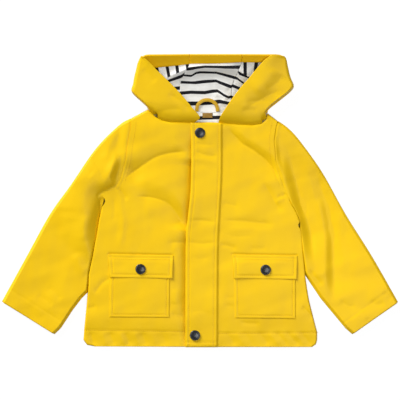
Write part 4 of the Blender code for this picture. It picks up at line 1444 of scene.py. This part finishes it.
# Section of a press stud's cap, from its middle out: share of the radius, height.
SNAP_PROFILE = [(0.0, 2.45), (0.20, 2.42), (0.42, 2.28), (0.60, 2.02), (0.72, 1.70), (0.76, 1.55),
                (0.79, 1.58), (0.84, 1.82), (0.90, 1.86), (0.96, 1.62), (1.0, 1.1), (1.0, 0.4),
                (0.97, 0.0), (0.0, 0.0)]


def snap(name, x, y, level):
    """A press stud's cap: a flange with a groove, and a low dome in it."""
    bm = bmesh.new()
    verts = [bm.verts.new((share * SNAP_RADIUS * MM, 0.0, height * MM))
             for share, height in SNAP_PROFILE]
    for first, second in zip(verts, verts[1:]):
        bm.edges.new((first, second))
    bmesh.ops.spin(bm, geom=bm.verts[:] + bm.edges[:], cent=(0, 0, 0), axis=(0, 0, 1),
                   dvec=(0, 0, 0), angle=2 * math.pi, steps=48, use_merge=True)
    bmesh.ops.remove_doubles(bm, verts=bm.verts, dist=WELD)
    bmesh.ops.recalc_face_normals(bm, faces=bm.faces)
    bmesh.ops.translate(bm, verts=bm.verts, vec=Vector((x, y, level)) * MM)
    add_piece("press_stud_" + name.replace("snap_", ""), bm, [LACQUER], "snap_metal", name)


def armhole_row(side):
    """The line of topstitching on the front, beside its armhole seam."""
    line = Path(ARMHOLE_PATHS[side].at(np.linspace(0.12, 0.95, 24)))
    return inset(line, 8.0, OUT[side])


def coat():
    """Every piece of the coat, from the surface up."""
    back()
    for side in SIDES:
        front(side)
        sleeve(side)
    hood()
    neck_pieces()
    flap_rows, flap_height = storm_flap()
    stitches("flap_stitching", flap_rows)
    lids = {}
    for side in SIDES:
        rows, lids[side] = pocket(side)
        stitches("pocket_stitching_" + side, rows)

        def surface(spots, side=side):
            return front_surface(spots, side)

        stitches("body_stitching_" + side,
                 [(row, surface) for row in (HEM_STITCH_PATHS[side], armhole_row(side))])
    for name, (x, y) in SNAPS.items():
        side = name.rsplit("_", 1)[1]
        level = lids[side] if side in lids else flap_height(np.array([(x, y)], float))[0]
        snap(name, x, y, level + 0.2)


WHITE = (1.0, 1.0, 1.0, 1.0)
# Lamps: place, size and watts; each points at the coat's middle.
LAMPS = {"key": ((-12.8, 15.4, 9.3), 11.0, 6840.0), "fill": ((0.8, -0.35, 2.5), 1.4, 24.0)}
# In metres: the width that the camera sees, at which height, and its place up
# the coat; and how far the floor lies under the coat.
FRAME_WIDTH, GARMENT_PLANE, CAMERA_UP, FLOOR_DROP = 0.640, 0.010, 0.0016, 0.0003


def studio():
    """A plain pale floor, soft light from above the hood, and the camera."""
    bm = bmesh.new()
    bmesh.ops.create_grid(bm, x_segments=1, y_segments=1, size=4.0)
    bmesh.ops.translate(bm, verts=bm.verts, vec=(0.0, 0.0, -FLOOR_DROP))
    card, _ = new_material("matt_card", "#6c6c6c", 0.9, Specular_IOR_Level=0.1,
                                Emission_Color=WHITE, Emission_Strength=0.92)
    floor = mesh_object("floor", bm, [card], smooth=False)
    floor.visible_diffuse = False

    world = bpy.data.worlds.new("studio")
    bpy.context.scene.world = world
    world.use_nodes = True
    background = world.node_tree.nodes["Background"]
    background.inputs["Color"].default_value = WHITE
    background.inputs["Strength"].default_value = 0.19

    for name, (place, size, power) in LAMPS.items():
        lamp = bpy.data.lights.new(name, "AREA")
        lamp.size = size
        lamp.energy = power
        light = linked(name, lamp)
        light.location = place
        light.rotation_euler = (-Vector(place)).to_track_quat("-Z", "Y").to_euler()
        light.visible_camera = False

    camera = bpy.data.cameras.new("camera")
    camera.lens = 200.0
    viewer = linked("camera", camera)
    distance = FRAME_WIDTH * camera.lens / camera.sensor_width
    viewer.location = (0.0, CAMERA_UP, GARMENT_PLANE + distance)
    bpy.context.scene.camera = viewer
    bpy.context.scene.view_settings.view_transform = "Standard"


coat()
studio()
bpy.context.view_layer.update()
